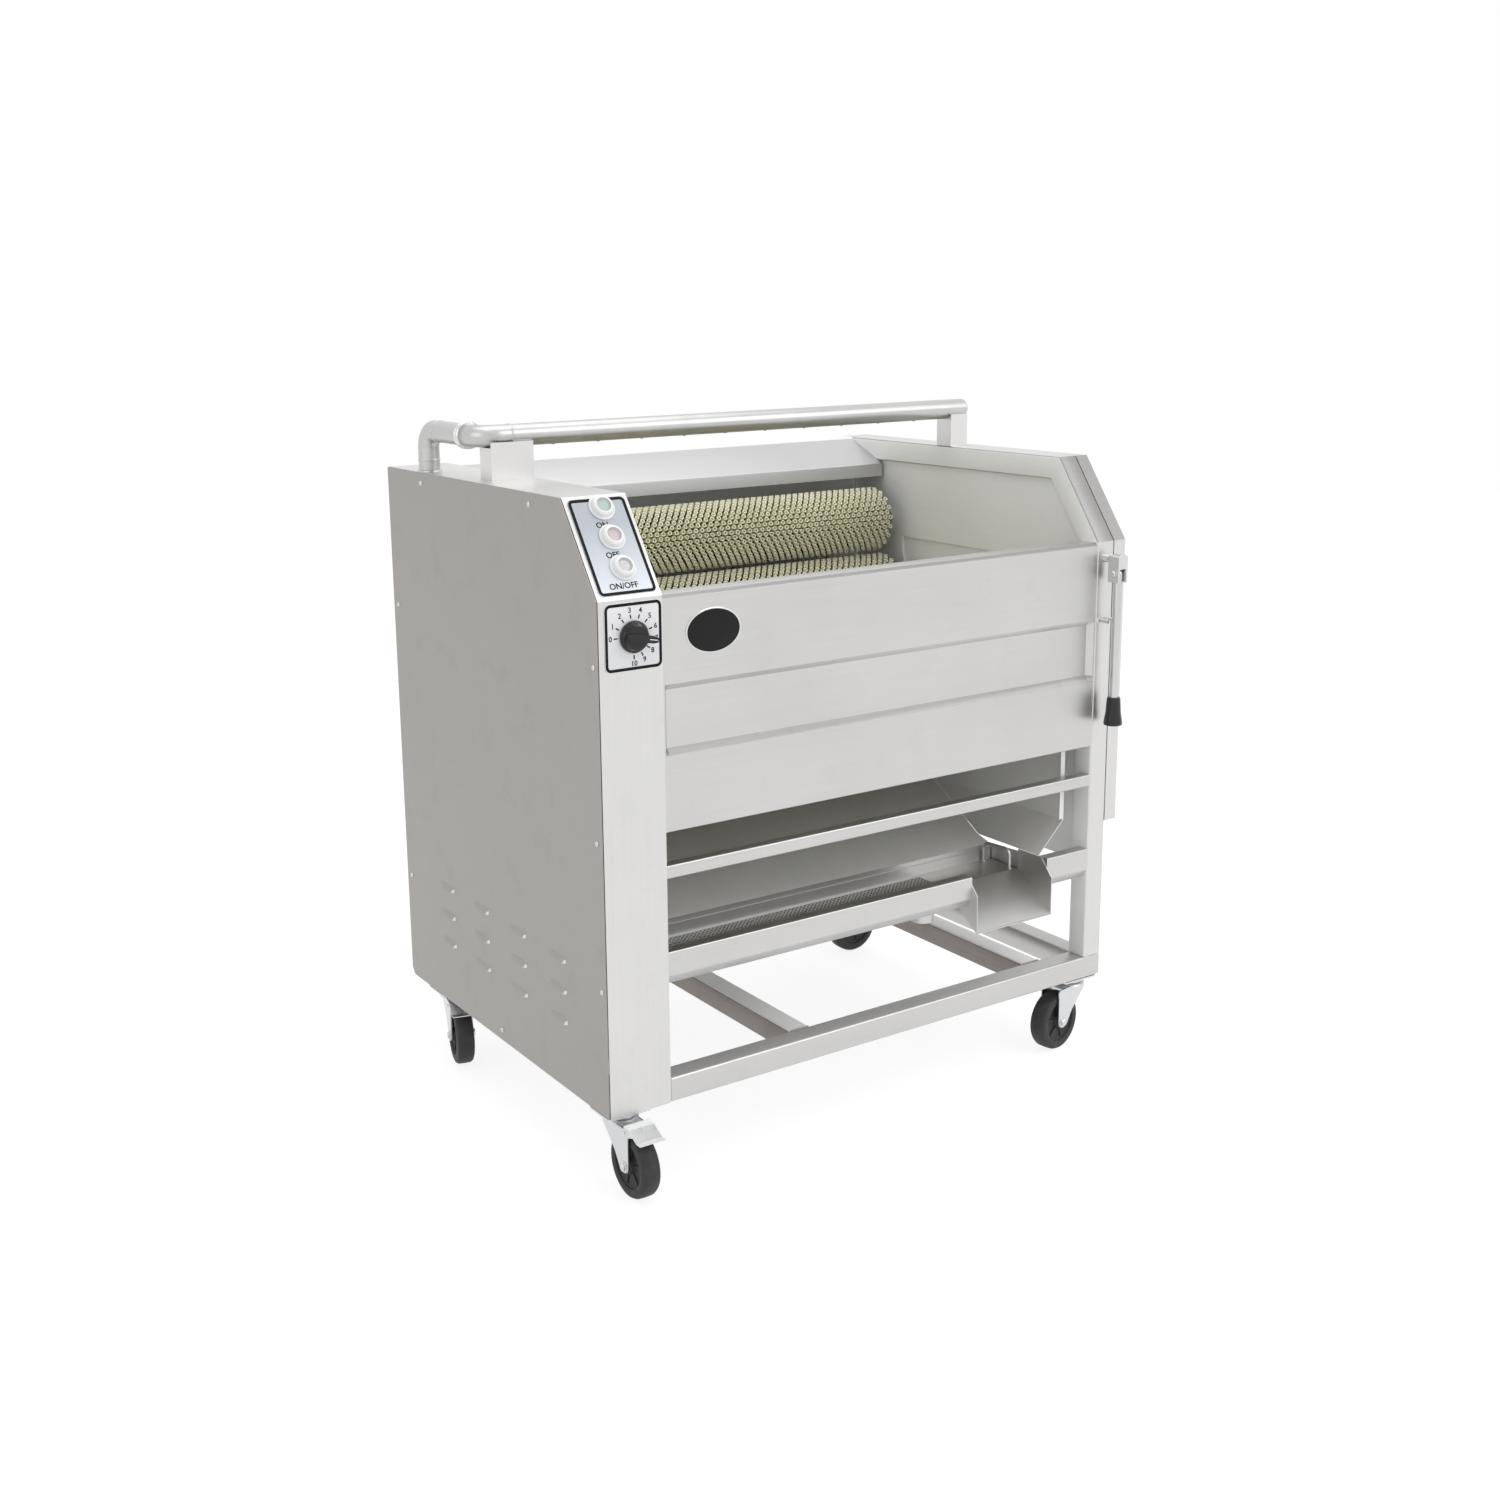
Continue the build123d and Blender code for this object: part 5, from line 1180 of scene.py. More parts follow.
def border(width: float, height: float, radius: float, line: float, low: float, high: float) -> Shape:
    """Return a thin rounded frame that lies about the origin."""
    outer = box_outline(width, height, radius, 5)
    inner = box_outline(width - 2 * line, height - 2 * line, max(0.5, radius - line), 5)
    edges = ((outer, low), (outer, high), (inner, high), (inner, low))
    rows = [[Vector((a, b, z)) for a, b in edge] for edge, z in edges]
    return Shape().rows(rows, ring=True)


def lettering(text: str, size: float, height: float) -> Shape:
    """Return flat letters about the origin as a closed shape."""
    curve = bpy.data.curves.new("letters", "FONT")
    curve.body, curve.size = text, size
    curve.align_x, curve.align_y = "CENTER", "CENTER"
    curve.extrude, curve.resolution_u = height / 2, 3
    curve.offset = size * 0.012
    holder = link("letters", curve)
    mesh = evaluated(holder)
    shape = Shape()
    shape.points = [vertex.co + Vector((0, 0, height / 2)) for vertex in mesh.vertices]
    shape.faces = [tuple(polygon.vertices) for polygon in mesh.polygons]
    shape.finish_of = [0] * len(shape.faces)
    bpy.data.objects.remove(holder)
    bpy.data.curves.remove(curve)
    return shape


@dataclass
class SpeedDial:
    """The dial plate with its numbers and ticks, and the knob."""

    plate_x: tuple[float, float] = (11.0, 102.6)
    plate_z: tuple[float, float] = (775.5, 871.0)
    centre: tuple[float, float] = (57.0, 822.6)
    knob_radius: float = 22.5
    number_size: float = 10.4
    numbers: int = 11
    step: float = 27.0
    pointer: float = -10.5

    def build(self, make: Maker) -> None:
        """Make the plate, its print and the knob."""
        (x0, x1), (z0, z1) = self.plate_x, self.plate_z
        front = Matrix.Translation(((x0 + x1) / 2, 0, (z0 + z1) / 2)) @ Matrix.Rotation(math.pi / 2, 4, "X")
        width, height = x1 - x0, z1 - z0
        shape = Shape().prism(box_outline(width, height, 8.0, 6), 0.0, 1.0, 2).moved(front)
        film = PlateFilm("dial_film", (0.72, 0.73, 0.75), (0.88, 0.88, 0.89), (0.77, 0.88), 0.3, 0.2)
        make.piece("dial_film", shape, film, slot="silver_plate", nodes=["dial_plate"], bevel=0.25)
        shape = border(width - 1.6, height - 1.6, 8.4, 4.2, 0.0, 1.25).moved(front)
        make.piece("dial_border", shape, Finishes.ink, slot="black_plate")
        middle = Matrix.Translation((self.centre[0], -1.0, self.centre[1])) @ Matrix.Rotation(math.pi / 2, 4, "X")
        print_shape = Shape()
        for n in range(self.numbers):
            angle = math.radians(180 - self.step * n)
            place = Matrix.Translation((37.0 * math.cos(angle), 37.5 * math.sin(angle), 0))
            print_shape.add(lettering(str(n), self.number_size, INK).moved(middle @ place))
        make.piece("dial_numbers", print_shape, Finishes.ink, slot="black_plate")
        self.ticks(make)
        self.knob(make)

    def ticks(self, make: Maker) -> None:
        """Print the ring of ticks."""

        def wire(graph: Graph, size: dict[str, Sock], _: Sock) -> Sock:
            """Set a turned bar at each number."""
            points = graph.node("GeometryNodeMeshLine", None, {"Count": size["Count"]})
            index = graph.node("GeometryNodeInputIndex")
            angle = math.pi - index * size["Step"]
            across, above = (angle.does(part) * size["Radius"] for part in ("COSINE", "SINE"))
            where = graph.xyz(size["Centre X"] + across, -1.06, size["Centre Z"] + above)
            placed = graph.node("GeometryNodeSetPosition", None, {"Geometry": points, "Position": where})
            bar = graph.node("GeometryNodeMeshCube", None, {"Size": (5.8, 0.3, 1.9)})
            return graph.repeat(placed, bar, Rotation=graph.xyz(y=angle * -1.0))

        sizes = {
            "Count": self.numbers, "Step": math.radians(self.step), "Radius": 28.6,
            "Centre X": self.centre[0], "Centre Z": self.centre[1],
        }
        make.grow("dial_ticks", sizes, wire, Finishes.ink, slot="black_plate")

    def knob(self, make: Maker) -> None:
        """Make the knob: a skirt, a ribbed barrel and a finger bar with its pointer."""
        x, z = self.centre
        r = self.knob_radius
        profile = [(1.3, 0.01), (1.3, r), (4.4, r), (5.6, r - 0.9), (6.4, r - 2.6)]
        profile += [(8.0, r * 0.84), (13.4, r * 0.78), (14.6, r * 0.7), (15.0, 0.01)]
        shape = Shape().lathe(profile, (x, 0, z), FORWARD, 56)
        turn = Matrix.Translation((x, 0, z)) @ Matrix.Rotation(-math.radians(self.pointer), 4, "Y")
        bar = [(-17.0, -5.2), (21.0, -5.2), (29.0, -3.4), (29.0, 3.4), (21.0, 5.2), (-17.0, 5.2)]
        bar = round_line(bar, [4.0, 4.0, 2.0, 2.0, 4.0, 4.0], 3, closed=True)
        shape.add(Shape().prism(bar, -21.0, -5.0, 1).moved(turn))
        shape.rod((x, -2.0, z), (x, 12.0, z), 3.0)
        make.piece("knob_body", shape, Finishes.knob, "knob", "black_plastic", ["speed_knob"], bevel=0.6)
        line = Shape().block((14.0, -21.25, -0.6), (27.0, -20.9, 0.6), 0.3, 1).moved(turn)
        make.piece("knob_line", line, Finishes.white_cap, "knob", "white_cap")


@dataclass
class FrontPanel:
    """The upper front sheet with its pressed band and rolled lip, the middle rail and the badge."""

    left: float = 104.0
    right: float = 938.0
    bottom: float = 533.6
    top: float = 875.0
    lip: float = 37.0
    band: tuple[float, float] = (645.5, 748.0)
    depth: float = 9.0
    badge: tuple[float, float] = (188.0, 817.0)
    badge_size: tuple[float, float] = (94.0, 65.0)

    def line(self, depth: float) -> Flat:
        """Return the sheet's outer line where the band is so deep."""
        low, high = self.band
        pressed = [(0, low), (depth, low + self.depth), (depth, high - self.depth), (0, high)]
        return [(20, self.bottom), (0, self.bottom), *pressed, (0, self.top - 5), (5, self.top), (self.lip, self.top),
                (self.lip, self.top - 15)]

    def build(self, make: Maker) -> None:
        """Make the sheet, the rail and the badge."""
        flat, deep = fold(self.line(0.05), 1.5, 2.0), fold(self.line(self.depth), 1.5, 2.0)
        places = [(self.left, flat), (self.left + 2, flat), (self.left + 9, deep)]
        places += [(self.right - 11, deep), (self.right - 3, flat), (self.right, flat)]
        shape = Shape().sheet([(x, *faces) for x, faces in places])
        sheet = make.piece("front_sheet", shape, Finishes.front, nodes=["front_panel"])
        # painted shade on the pressed band's upward slanted bevels
        make.slopes(sheet, Finishes.slope, 0.25, 0.85)
        half = 10.0
        tube = box_outline(20.0, 20.0, 2.5)
        shape = Shape().sweep([(self.left, half, 474.5), (self.right, half, 474.5)], tube, Z_WAY)
        make.piece("middle_rail", shape, Finishes.front, nodes=["mid_rail"])
        self.oval(make)

    def oval(self, make: Maker) -> None:
        """Make the plain domed badge with its rim."""
        a, b = (size / 2 for size in self.badge_size)
        rows = []
        rim = ((1.0, 0.0), (1.0, 0.7), (0.985, 1.0), (0.96, 0.8), (0.94, 0.8))
        x, z = self.badge
        for share, height in (*rim, (0.8, 1.5), (0.5, 1.9), (0.02, 2.0)):
            rows.append([Vector((x + u * a * share, -height, z + v * b * share)) for u, v in circle(1.0, 64)])
        shape = Shape()
        shape.finish = 1
        shape.rows(rows[:5], caps=False)
        shape.finish = 0
        shape.rows(rows[4:], caps=False)
        cap = len(shape.points)
        shape.face(range(cap - 64, cap))
        shape.face(range(0, 64))
        make.piece("oval_badge", shape, [Finishes.badge, Finishes.bright], slot="black_plate", nodes=["badge"])


@dataclass
class DischargeGate:
    """The gate's flap, shaft, hub and bolt, with the folding lever and its prongs."""

    x: float = 956.6
    z: float = 848.0
    reach: float = 29.0
    drop: float = 22.0
    grip: tuple[float, float] = (620.7, 573.5)
    prong_height: float = 746.5

    def build(self, make: Maker) -> None:
        """Make the gate and the lever."""
        # painted light: the gate sheet is lightened
        make.copy("gate_flap", "gate_sheet", Finishes.satin, "gate", bevel=0.5)
        shape = Shape().rod((self.x, 514.0, self.z), (self.x, -16.5, self.z), 6.0, 24, 0.8)
        shape.block((950.3, 227.0, 836.0), (self.x, 505.0, self.z), 0.8, 1)
        half, front, rear = 10.4, -self.reach - 10.5, -self.reach + 13.0
        outline = [(-half, -36), (-7.4, -36), (-7.4, -13.6), (7.4, -13.6), (7.4, -36), (half, -36)]
        outline += [(half, 10), (-half, 10)]
        outline = round_line(outline, [1.2, 1.2, 2.5, 2.5, 1.2, 1.2, 6.0, 6.0], 4, closed=True)
        shape.prism([(self.x + a, self.z + b) for a, b in outline], front, rear, 1)
        pivot = self.z - self.drop
        shape.lathe([(0, 5.6), (1.0, 6.0), (3.6, 6.0), (4.0, 5.6)], (self.x - half - 4, -self.reach, pivot), X_WAY, 6)
        nut = [(0, 6.2), (3.2, 6.2), (3.6, 5.4), (5.4, 4.9), (7.2, 3.4), (8.0, 0.4)]
        shape.lathe(nut, (self.x + half, -self.reach, pivot), X_WAY, 24)
        make.piece("gate_spindle", shape, Finishes.bright, "gate", "bright_steel", ["gate_shaft"], 0.5)
        bar = Shape()
        profile = [(0, 0.4), (1.6, 4.4), (4.0, 6.3), (7.0, 7.0), (212.6, 7.0)]
        bar.lathe(profile, (self.x, -self.reach, pivot + 7), DOWN, 28)
        make.piece("lever_bar", bar, Finishes.rod, "lever", "bright_steel", ["lever_rod"])
        top, bottom = self.grip
        run = top - bottom
        profile = [(0, 9.6), (0.8, 10.8), (4.0, 11.2), (run * 0.55, 12.6), (run * 0.8, 14.6), (run - 3.4, 15.5)]
        profile += [(run - 1.0, 14.9), (run, 12.6)]
        grip = Shape().lathe(profile, (self.x, -self.reach, top), DOWN, 40)
        make.piece("lever_handle", grip, Finishes.grip, "lever", "black_plastic", ["lever_grip"])
        shape = Shape()
        for side in (-11.0, 11.0):
            shape.wire([(self.x + side, 1, self.prong_height), (self.x + side, -21, self.prong_height)], 3.0, 1.0, 14)
            shape.lathe([(0, 4.6), (1.2, 3.8), (2.0, 3.1)], (self.x + side, 0.2, self.prong_height), FORWARD, 16)
        make.piece("lever_guides", shape, Finishes.bright, slot="bright_steel", nodes=["lever_prongs"])


@dataclass
class WasteGutter:
    """The gutter with its sieve, spout and drain, and the hopper plates above it."""

    left: float = 104.0
    end: float = 845.0
    right: float = 938.0
    spout_left: float = 681.0
    spout_rear: float = 68.0
    top: float = 354.6
    floor: float = 304.0
    depth: float = 140.0
    sheet: float = 1.5
    sieve_height: float = 320.0
    sieve_front: float = 24.0
    drain: tuple[float, float] = (640.0, 75.0)
    rear_top: float = 346.0
    fold_top: float = 318.4
    hole_pitch: float = 7.6

    def build(self, make: Maker) -> None:
        """Make everything of the waste side."""
        self.gutter(make)
        self.spout(make)
        self.sieve(make)
        # painted light: the hopper plates are lightened
        make.copy("hopper_back_plate", "hopper_back", Finishes.inner)
        make.copy("hopper_side_plate", "hopper_side", Finishes.inner)

    def gutter(self, make: Maker) -> None:
        """Fold the gutter: a full section left of the spout and its lip beyond."""
        rear_top = self.rear_top
        front = [(20, self.top), (0, self.top), (0, self.fold_top), (9, self.floor)]
        whole = [*front, (self.depth, self.floor), (self.depth, rear_top)]
        shape = folded(Shape(), whole, -self.sheet, self.left, self.spout_left, 2.2)
        folded(shape, [(self.spout_rear, self.floor), (self.depth, self.floor), (self.depth, rear_top)], -self.sheet,
               self.spout_left, self.end, 2.2)
        folded(shape, [*front, (20, self.floor)], -self.sheet, self.end, self.right, 2.2)
        wall = [(0.2, self.top - 0.2), (0.2, self.fold_top), (9, self.floor + 0.2)]
        wall += [(self.depth - 0.2, self.floor + 0.2), (self.depth - 0.2, rear_top)]
        shape.prism(wall, self.end, self.end + self.sheet, 0)
        profile = [(0, 17.0), (0, 19.0), (35.2, 19.0), (36.0, 18.2), (36.0, 17.0)]
        shape.tube(profile, (*self.drain, self.floor + 0.4), DOWN, 36)
        make.piece("gutter_trough", shape, Finishes.front, nodes=["waste_gutter"])

    def spout(self, make: Maker) -> None:
        """Fold the spout's floor and stand its two walls."""
        line = [(self.spout_rear, self.floor), (self.spout_rear, self.sieve_height), (-13.0, 262.0)]
        shape = folded(Shape(), line, self.sheet, self.spout_left, self.end, 2.2)
        foot = [(-13.0, 262.0), (self.spout_rear, self.sieve_height)]
        head = [(13.0, self.top), (-13.0, 325.0)]
        wall = [*foot, (self.spout_rear, self.top), *head]
        wall = round_line(wall, [0.6, 0.6, 1.0, 3.0, 1.0], 3, closed=True)
        shape.prism(wall, self.end - self.sheet, self.end, 0)
        low = [*foot, (self.spout_rear, self.sieve_height + 3), (16.0, self.top), *head]
        shape.prism(low, self.spout_left, self.spout_left + self.sheet, 0)
        shape.wire([(self.spout_left, -13.0, 262.6), (self.end, -13.0, 262.6)], 1.3, 1.0, 8)
        make.piece("spout_sheets", shape, Finishes.front, nodes=["spout"], bevel=0.4)

    def sieve(self, make: Maker) -> None:
        """Fold the sieve's rims, punch its plate and bend its hoop."""
        left, right = self.left + 2, self.end - 2
        rear = self.depth - self.sheet - 2
        z = self.sieve_height
        cut = self.spout_left - 2
        shape = Shape()
        leg = self.floor + self.sheet + 0.3
        front = [(self.sieve_front, leg), (self.sieve_front, z), (self.sieve_front + 8, z)]
        folded(shape, front, self.sheet, left, cut, 2.2)
        folded(shape, [(rear - 8, z), (rear, z), (rear, 338.0)], self.sheet, left, right, 2.2)
        shape.block((cut, 70.0, z - self.sheet), (right, rear - 8, z))
        up = z + 33.0
        feet = (832.0, 76.0), (824.0, 132.0)
        hoop = [(*feet[0], z - 0.7), (*feet[0], up), (*feet[1], up), (*feet[1], z - 0.7)]
        shape.wire(hoop, 3.0, 11.0)
        for foot in feet:
            shape.lathe([(0, 4.8), (1.4, 3.9), (2.2, 3.1)], (*foot, z), Z_WAY, 18)
        make.piece("sieve_rims", shape, Finishes.front, "sieve_tray", nodes=["sieve"])
        self.punched(make, (left, cut), (self.sieve_front + 8, rear - 8), z)

    def punched(self, make: Maker, xs: tuple[float, float], ys: tuple[float, float], z: float) -> None:
        """Punch the sieve's plate: one holed cell, repeated."""
        columns = round((xs[1] - xs[0]) / self.hole_pitch)
        rows = round((ys[1] - ys[0]) / self.hole_pitch)
        cell = (xs[1] - xs[0]) / columns, (ys[1] - ys[0]) / rows
        count = 12
        base = Shape()
        levels = []
        for height in (0.0, -self.sheet):
            hole = [Vector((2.1 * a, 2.1 * b, height)) for a, b in circle(1.0, count)]
            edge = []
            for a, b in circle(1.0, count):
                grow = 0.5 / max(abs(a), abs(b))
                edge.append(Vector((a * grow * cell[0], b * grow * cell[1], height)))
            levels.append((edge, hole))
        base.rows([levels[0][0], levels[0][1], levels[1][1], levels[1][0]], caps=False)

        def wire(graph: Graph, size: dict[str, Sock], plate: Sock) -> Sock:
            """Set the cell at every place of a grid."""
            grid = graph.node("GeometryNodeMeshGrid", None, {
                "Size X": size["Length"], "Size Y": size["Width"],
                "Vertices X": size["Columns"], "Vertices Y": size["Rows"],
            })
            where = graph.xyz(size["Middle X"], size["Middle Y"], size["Height"])
            placed = graph.node("GeometryNodeTransform", None, {"Geometry": grid, "Translation": where})
            return graph.repeat(placed, plate)

        sizes = {
            "Length": xs[1] - xs[0] - cell[0], "Width": ys[1] - ys[0] - cell[1], "Columns": columns, "Rows": rows,
            "Middle X": (xs[0] + xs[1]) / 2, "Middle Y": (ys[0] + ys[1]) / 2, "Height": z,
        }
        make.grow("sieve_plate", sizes, wire, Finishes.sieve, base, "sieve_tray")


@dataclass
class RearCover:
    """The sloped cover over the rear roller, with its turned-down lip."""

    left: float = 104.0
    right: float = 938.0
    lip: tuple[float, float] = (560.0, 965.0)
    drop: float = 24.0

    def build(self, make: Maker) -> None:
        """Make the cover."""
        y, z = self.lip
        line = [(y, z - self.drop), (y, z), (650.0, 1005.0)]
        shape = folded(Shape(), line, 1.5, self.left, self.right, 2.4)
        make.piece("rear_slope", shape, Finishes.cover, nodes=["rear_cover"])
        # painted light: the rear panel is lightened
        make.dress("rear_panel", Finishes.inner)


@dataclass
class SprayPipe:
    """The supply riser, the manifold over the trough, the union and the brackets."""

    radius: float = 17.0
    z: float = 1073.0
    y: float = 385.0
    leg: tuple[float, float] = (25.0, 575.0)
    union_y: float = 430.0
    right: float = 976.0
    top: float = 1008.0

    def build(self, make: Maker) -> None:
        """Make the pipes and what holds them."""
        x, back = self.leg
        path = [(x, self.union_y, self.z), (x, self.y, self.z), (self.right, self.y, self.z)]
        shape = Shape().wire(path, self.radius, 30.0, 32, 10)
        self.seams(shape, ((x + 47, self.y, self.z), X_WAY), ((x, self.y + 47, self.z), Y_WAY))
        make.piece("spray_tube", shape, Finishes.pipe, nodes=["spray_manifold"])
        path = [(x, back, 932.0), (x, back, self.z), (x, self.union_y, self.z)]
        shape = Shape().wire(path, self.radius, 30.0, 32, 10)
        self.seams(shape, ((x, back - 47, self.z), Y_WAY), ((x, back, self.z - 47), Z_WAY))
        shape.lathe([(0, 21.0), (1.0, 20.2), (2.4, 17.6)], (x, back, self.top), Z_WAY, 32)
        make.piece("riser_tube", shape, Finishes.pipe, nodes=["supply_pipe"])
        profile = [(-7, 17.2), (-7, 20.4), (-6, 21.4), (-2, 21.4), (-1.4, 20.8)]
        profile += [(-a, b) for a, b in reversed(profile)]
        shape = Shape().lathe(profile, (x, self.union_y, self.z), Y_WAY, 36)
        plug = [(0, 17.0), (0.4, 17.0), (2.6, 16.6), (4.4, 15.2), (5.6, 12.0), (6.0, 6.0), (6.0, 0.3)]
        shape.lathe(plug, (self.right, self.y, self.z), X_WAY, 32)
        make.piece("pipe_joints", shape, Finishes.bright, nodes=["pipe_fittings"])
        make.copy("pipe_brackets", "bracket_blocks", Finishes.deep, bevel=1.0)
        self.outlets(make)

    @staticmethod
    def seams(shape: Shape, *places: tuple[Point, Point]) -> None:
        """Lay a ring-shaped weld round the pipe at each place and way."""
        for start, way in places:
            ring = [(-1.8, 17.0), (-1.0, 17.6), (0.0, 17.8), (1.0, 17.6), (1.8, 17.0)]
            shape.lathe(ring, start, way, 32, caps=False)

    def outlets(self, make: Maker) -> None:
        """Set a dark spray outlet under the manifold at each pitch."""

        def wire(graph: Graph, size: dict[str, Sock], _: Sock) -> Sock:
            """Set a short nozzle at every point of a line."""
            line = graph.node("GeometryNodeMeshLine", {"mode": "OFFSET"}, {
                "Count": size["Count"], "Offset": graph.xyz(size["Pitch"]),
                "Start Location": graph.xyz(size["Start"], size["Y"], size["Z"] - self.radius),
            })
            rim = graph.node("GeometryNodeMeshCylinder", None, {"Vertices": 14, "Radius": 2.6, "Depth": 1.4}, "Mesh")
            return graph.repeat(line, rim)

        sizes = {"Count": 10, "Pitch": 80.0, "Start": 148.0, "Y": self.y, "Z": self.z}
        make.grow("spray_outlets", sizes, wire, Finishes.chain)


@dataclass
class BrushTrough:
    """The brush rollers: steel shafts with sprockets, sleeves and nylon tufts."""

    centre: tuple[float, float] = (313.0, 858.0)
    radius: float = 236.0
    count: int = 6
    rear_angle: float = 91.4
    step: float = 30.46
    left: float = 108.0
    length: float = 800.0
    brush_radius: float = 59.2
    core_radius: float = 41.0
    tuft_radius: float = 4.0
    sides: int = 8
    along: int = 61
    around: int = 40
    planes: tuple[float, float, float] = (78.4, 66.4, 54.4)

    def build(self, make: Maker) -> None:
        """Make every roller."""
        for n in range(self.count):
            angle = math.radians(self.rear_angle - self.step * n)
            y = self.centre[0] + self.radius * math.sin(angle)
            z = self.centre[1] - self.radius * math.cos(angle)
            self.roller(make, n, y, z)

    def roller(self, make: Maker, n: int, y: float, z: float) -> None:
        """Make one roller about its axis."""
        name = f"roller_{n + 1}"
        planes = self.planes if n == self.count // 2 else self.planes[:2]
        shape = Shape().rod((planes[-1] - 5, y, z), (960.0, y, z), 10.0, 28, 1.0)
        for plane in planes:
            shape.prism(sprocket_outline(12, y, z), plane - 2.5, plane + 2.5, 0)
        make.piece(name + "_shaft", shape, Finishes.bright, name, "bright_steel", bevel=0.3)
        profile = [(0, 30.0), (1.5, self.core_radius - 2), (3.0, self.core_radius)]
        profile += [(self.length - a, b) for a, b in reversed(profile)]
        shape = Shape().lathe(profile, (self.left, y, z), X_WAY, 40)
        # near-black sleeve, also painted shade between the tufts
        make.piece(name + "_sleeve", shape, Finishes.core, name, "bristle")
        self.tufts(make, name, y, z, n)

    def tuft(self) -> Shape:
        """Return one tuft that stands on the origin: open below, with a rim and a hollow at its tip."""
        height, tip = self.brush_radius - self.core_radius, self.tuft_radius
        rings = [(0.0, tip * 0.86), (height * 0.7, tip * 0.93), (height, tip)]
        rings += [(height, tip * 0.7), (height - 4.0, tip * 0.4)]
        rows = [[Vector((a, b, z)) for a, b in circle(radius, self.sides)] for z, radius in rings]
        shape = Shape().rows(rows, caps=False)
        shape.face(range(len(shape.points) - self.sides, len(shape.points)))
        return shape

    def tufts(self, make: Maker, name: str, y: float, z: float, seed: int) -> None:
        """Grow one roller's tufts in straight rows, every other row shifted by half a pitch."""

        def wire(graph: Graph, size: dict[str, Sock], tuft: Sock) -> Sock:
            """Set the tuft at every place on the sleeve."""
            place = graph.node("GeometryNodeInputPosition")
            up = graph.part(place, "Z") / size["Height"]
            flat = graph.node("ShaderNodeVectorMath", {"operation": "MULTIPLY"}, {0: place, 1: (1.0, 1.0, 0.0)})
            wide = graph.node("ShaderNodeVectorMath", {"operation": "LENGTH"}, {0: flat}, "Value") / size["Tuft Radius"]
            # marks the tip's hollow, where the bristle finish paints shade
            hollow = (1.0 - wide.span(0.42, 0.7)) * up.span(0.5, 0.6)
            for key, value in (("rise", up), ("hollow", hollow)):
                tuft = graph.node("GeometryNodeStoreNamedAttribute", {"data_type": "FLOAT", "domain": "POINT"}, {
                    "Geometry": tuft, "Name": key, "Value": value})
            grid = graph.node("GeometryNodeMeshGrid", None, {
                "Size X": 1.0, "Size Y": 1.0, "Vertices X": size["Around"], "Vertices Y": size["Along"]})
            index = graph.node("GeometryNodeInputIndex")
            row = (index / size["Along"]).does("FLOOR")
            turn = (row + size["Start"]) * 2 * math.pi / size["Around"]
            cosine, sine = turn.does("COSINE"), turn.does("SINE")
            along = size["Left"] + (index % size["Along"] + 0.25 + (row % 2.0) * 0.5) * size["Pitch"]
            where = graph.xyz(along, size["Y"] + cosine * size["Core"], size["Z"] + sine * size["Core"])
            points = graph.node("GeometryNodeSetPosition", None, {"Geometry": grid, "Position": where})
            lean = graph.node("FunctionNodeRandomValue", {"data_type": "FLOAT_VECTOR"}, {
                "Min": (-0.025, -0.025, -0.025), "Max": (0.025, 0.025, 0.025), "Seed": size["Seed"]})
            out = graph.node("ShaderNodeVectorMath", {"operation": "ADD"}, {0: graph.xyz(0.0, cosine, sine), 1: lean})
            aim = graph.node("FunctionNodeAlignRotationToVector", {"axis": "Z"}, {"Vector": out})
            spread = graph.node("FunctionNodeRandomValue", {"data_type": "FLOAT"}, {
                "Min_001": 0.96, "Max_001": 1.04, "Seed": size["Seed"]}, "Value_001")
            return graph.repeat(points, tuft, Rotation=aim, Scale=graph.xyz(spread, spread, 1.0))

        sizes = {
            "Left": self.left, "Pitch": self.length / self.along, "Along": self.along, "Around": self.around,
            "Core": self.core_radius - 0.2, "Height": self.brush_radius - self.core_radius,
            "Tuft Radius": self.tuft_radius, "Y": y, "Z": z, "Start": 0.5 * (seed % 2), "Seed": seed + 3,
        }
        node = f"brush_{name}"
        make.grow(name + "_tufts", sizes, wire, Finishes.bristle, self.tuft(), name, "bristle", [node])


def sprocket_outline(teeth: int, y: float, z: float) -> Flat:
    """Return a roller-chain sprocket's outline about a centre."""
    middle = 12.7 / 2 / math.sin(math.pi / teeth)
    tip, root = middle + 3.81, middle - 3.81
    outline = []
    for n in range(teeth):
        for share, radius in ((-0.3, root), (-0.12, tip), (0.12, tip), (0.3, root)):
            angle = 2 * math.pi * (n + share) / teeth
            outline.append((y + radius * math.cos(angle), z + radius * math.sin(angle)))
    return outline


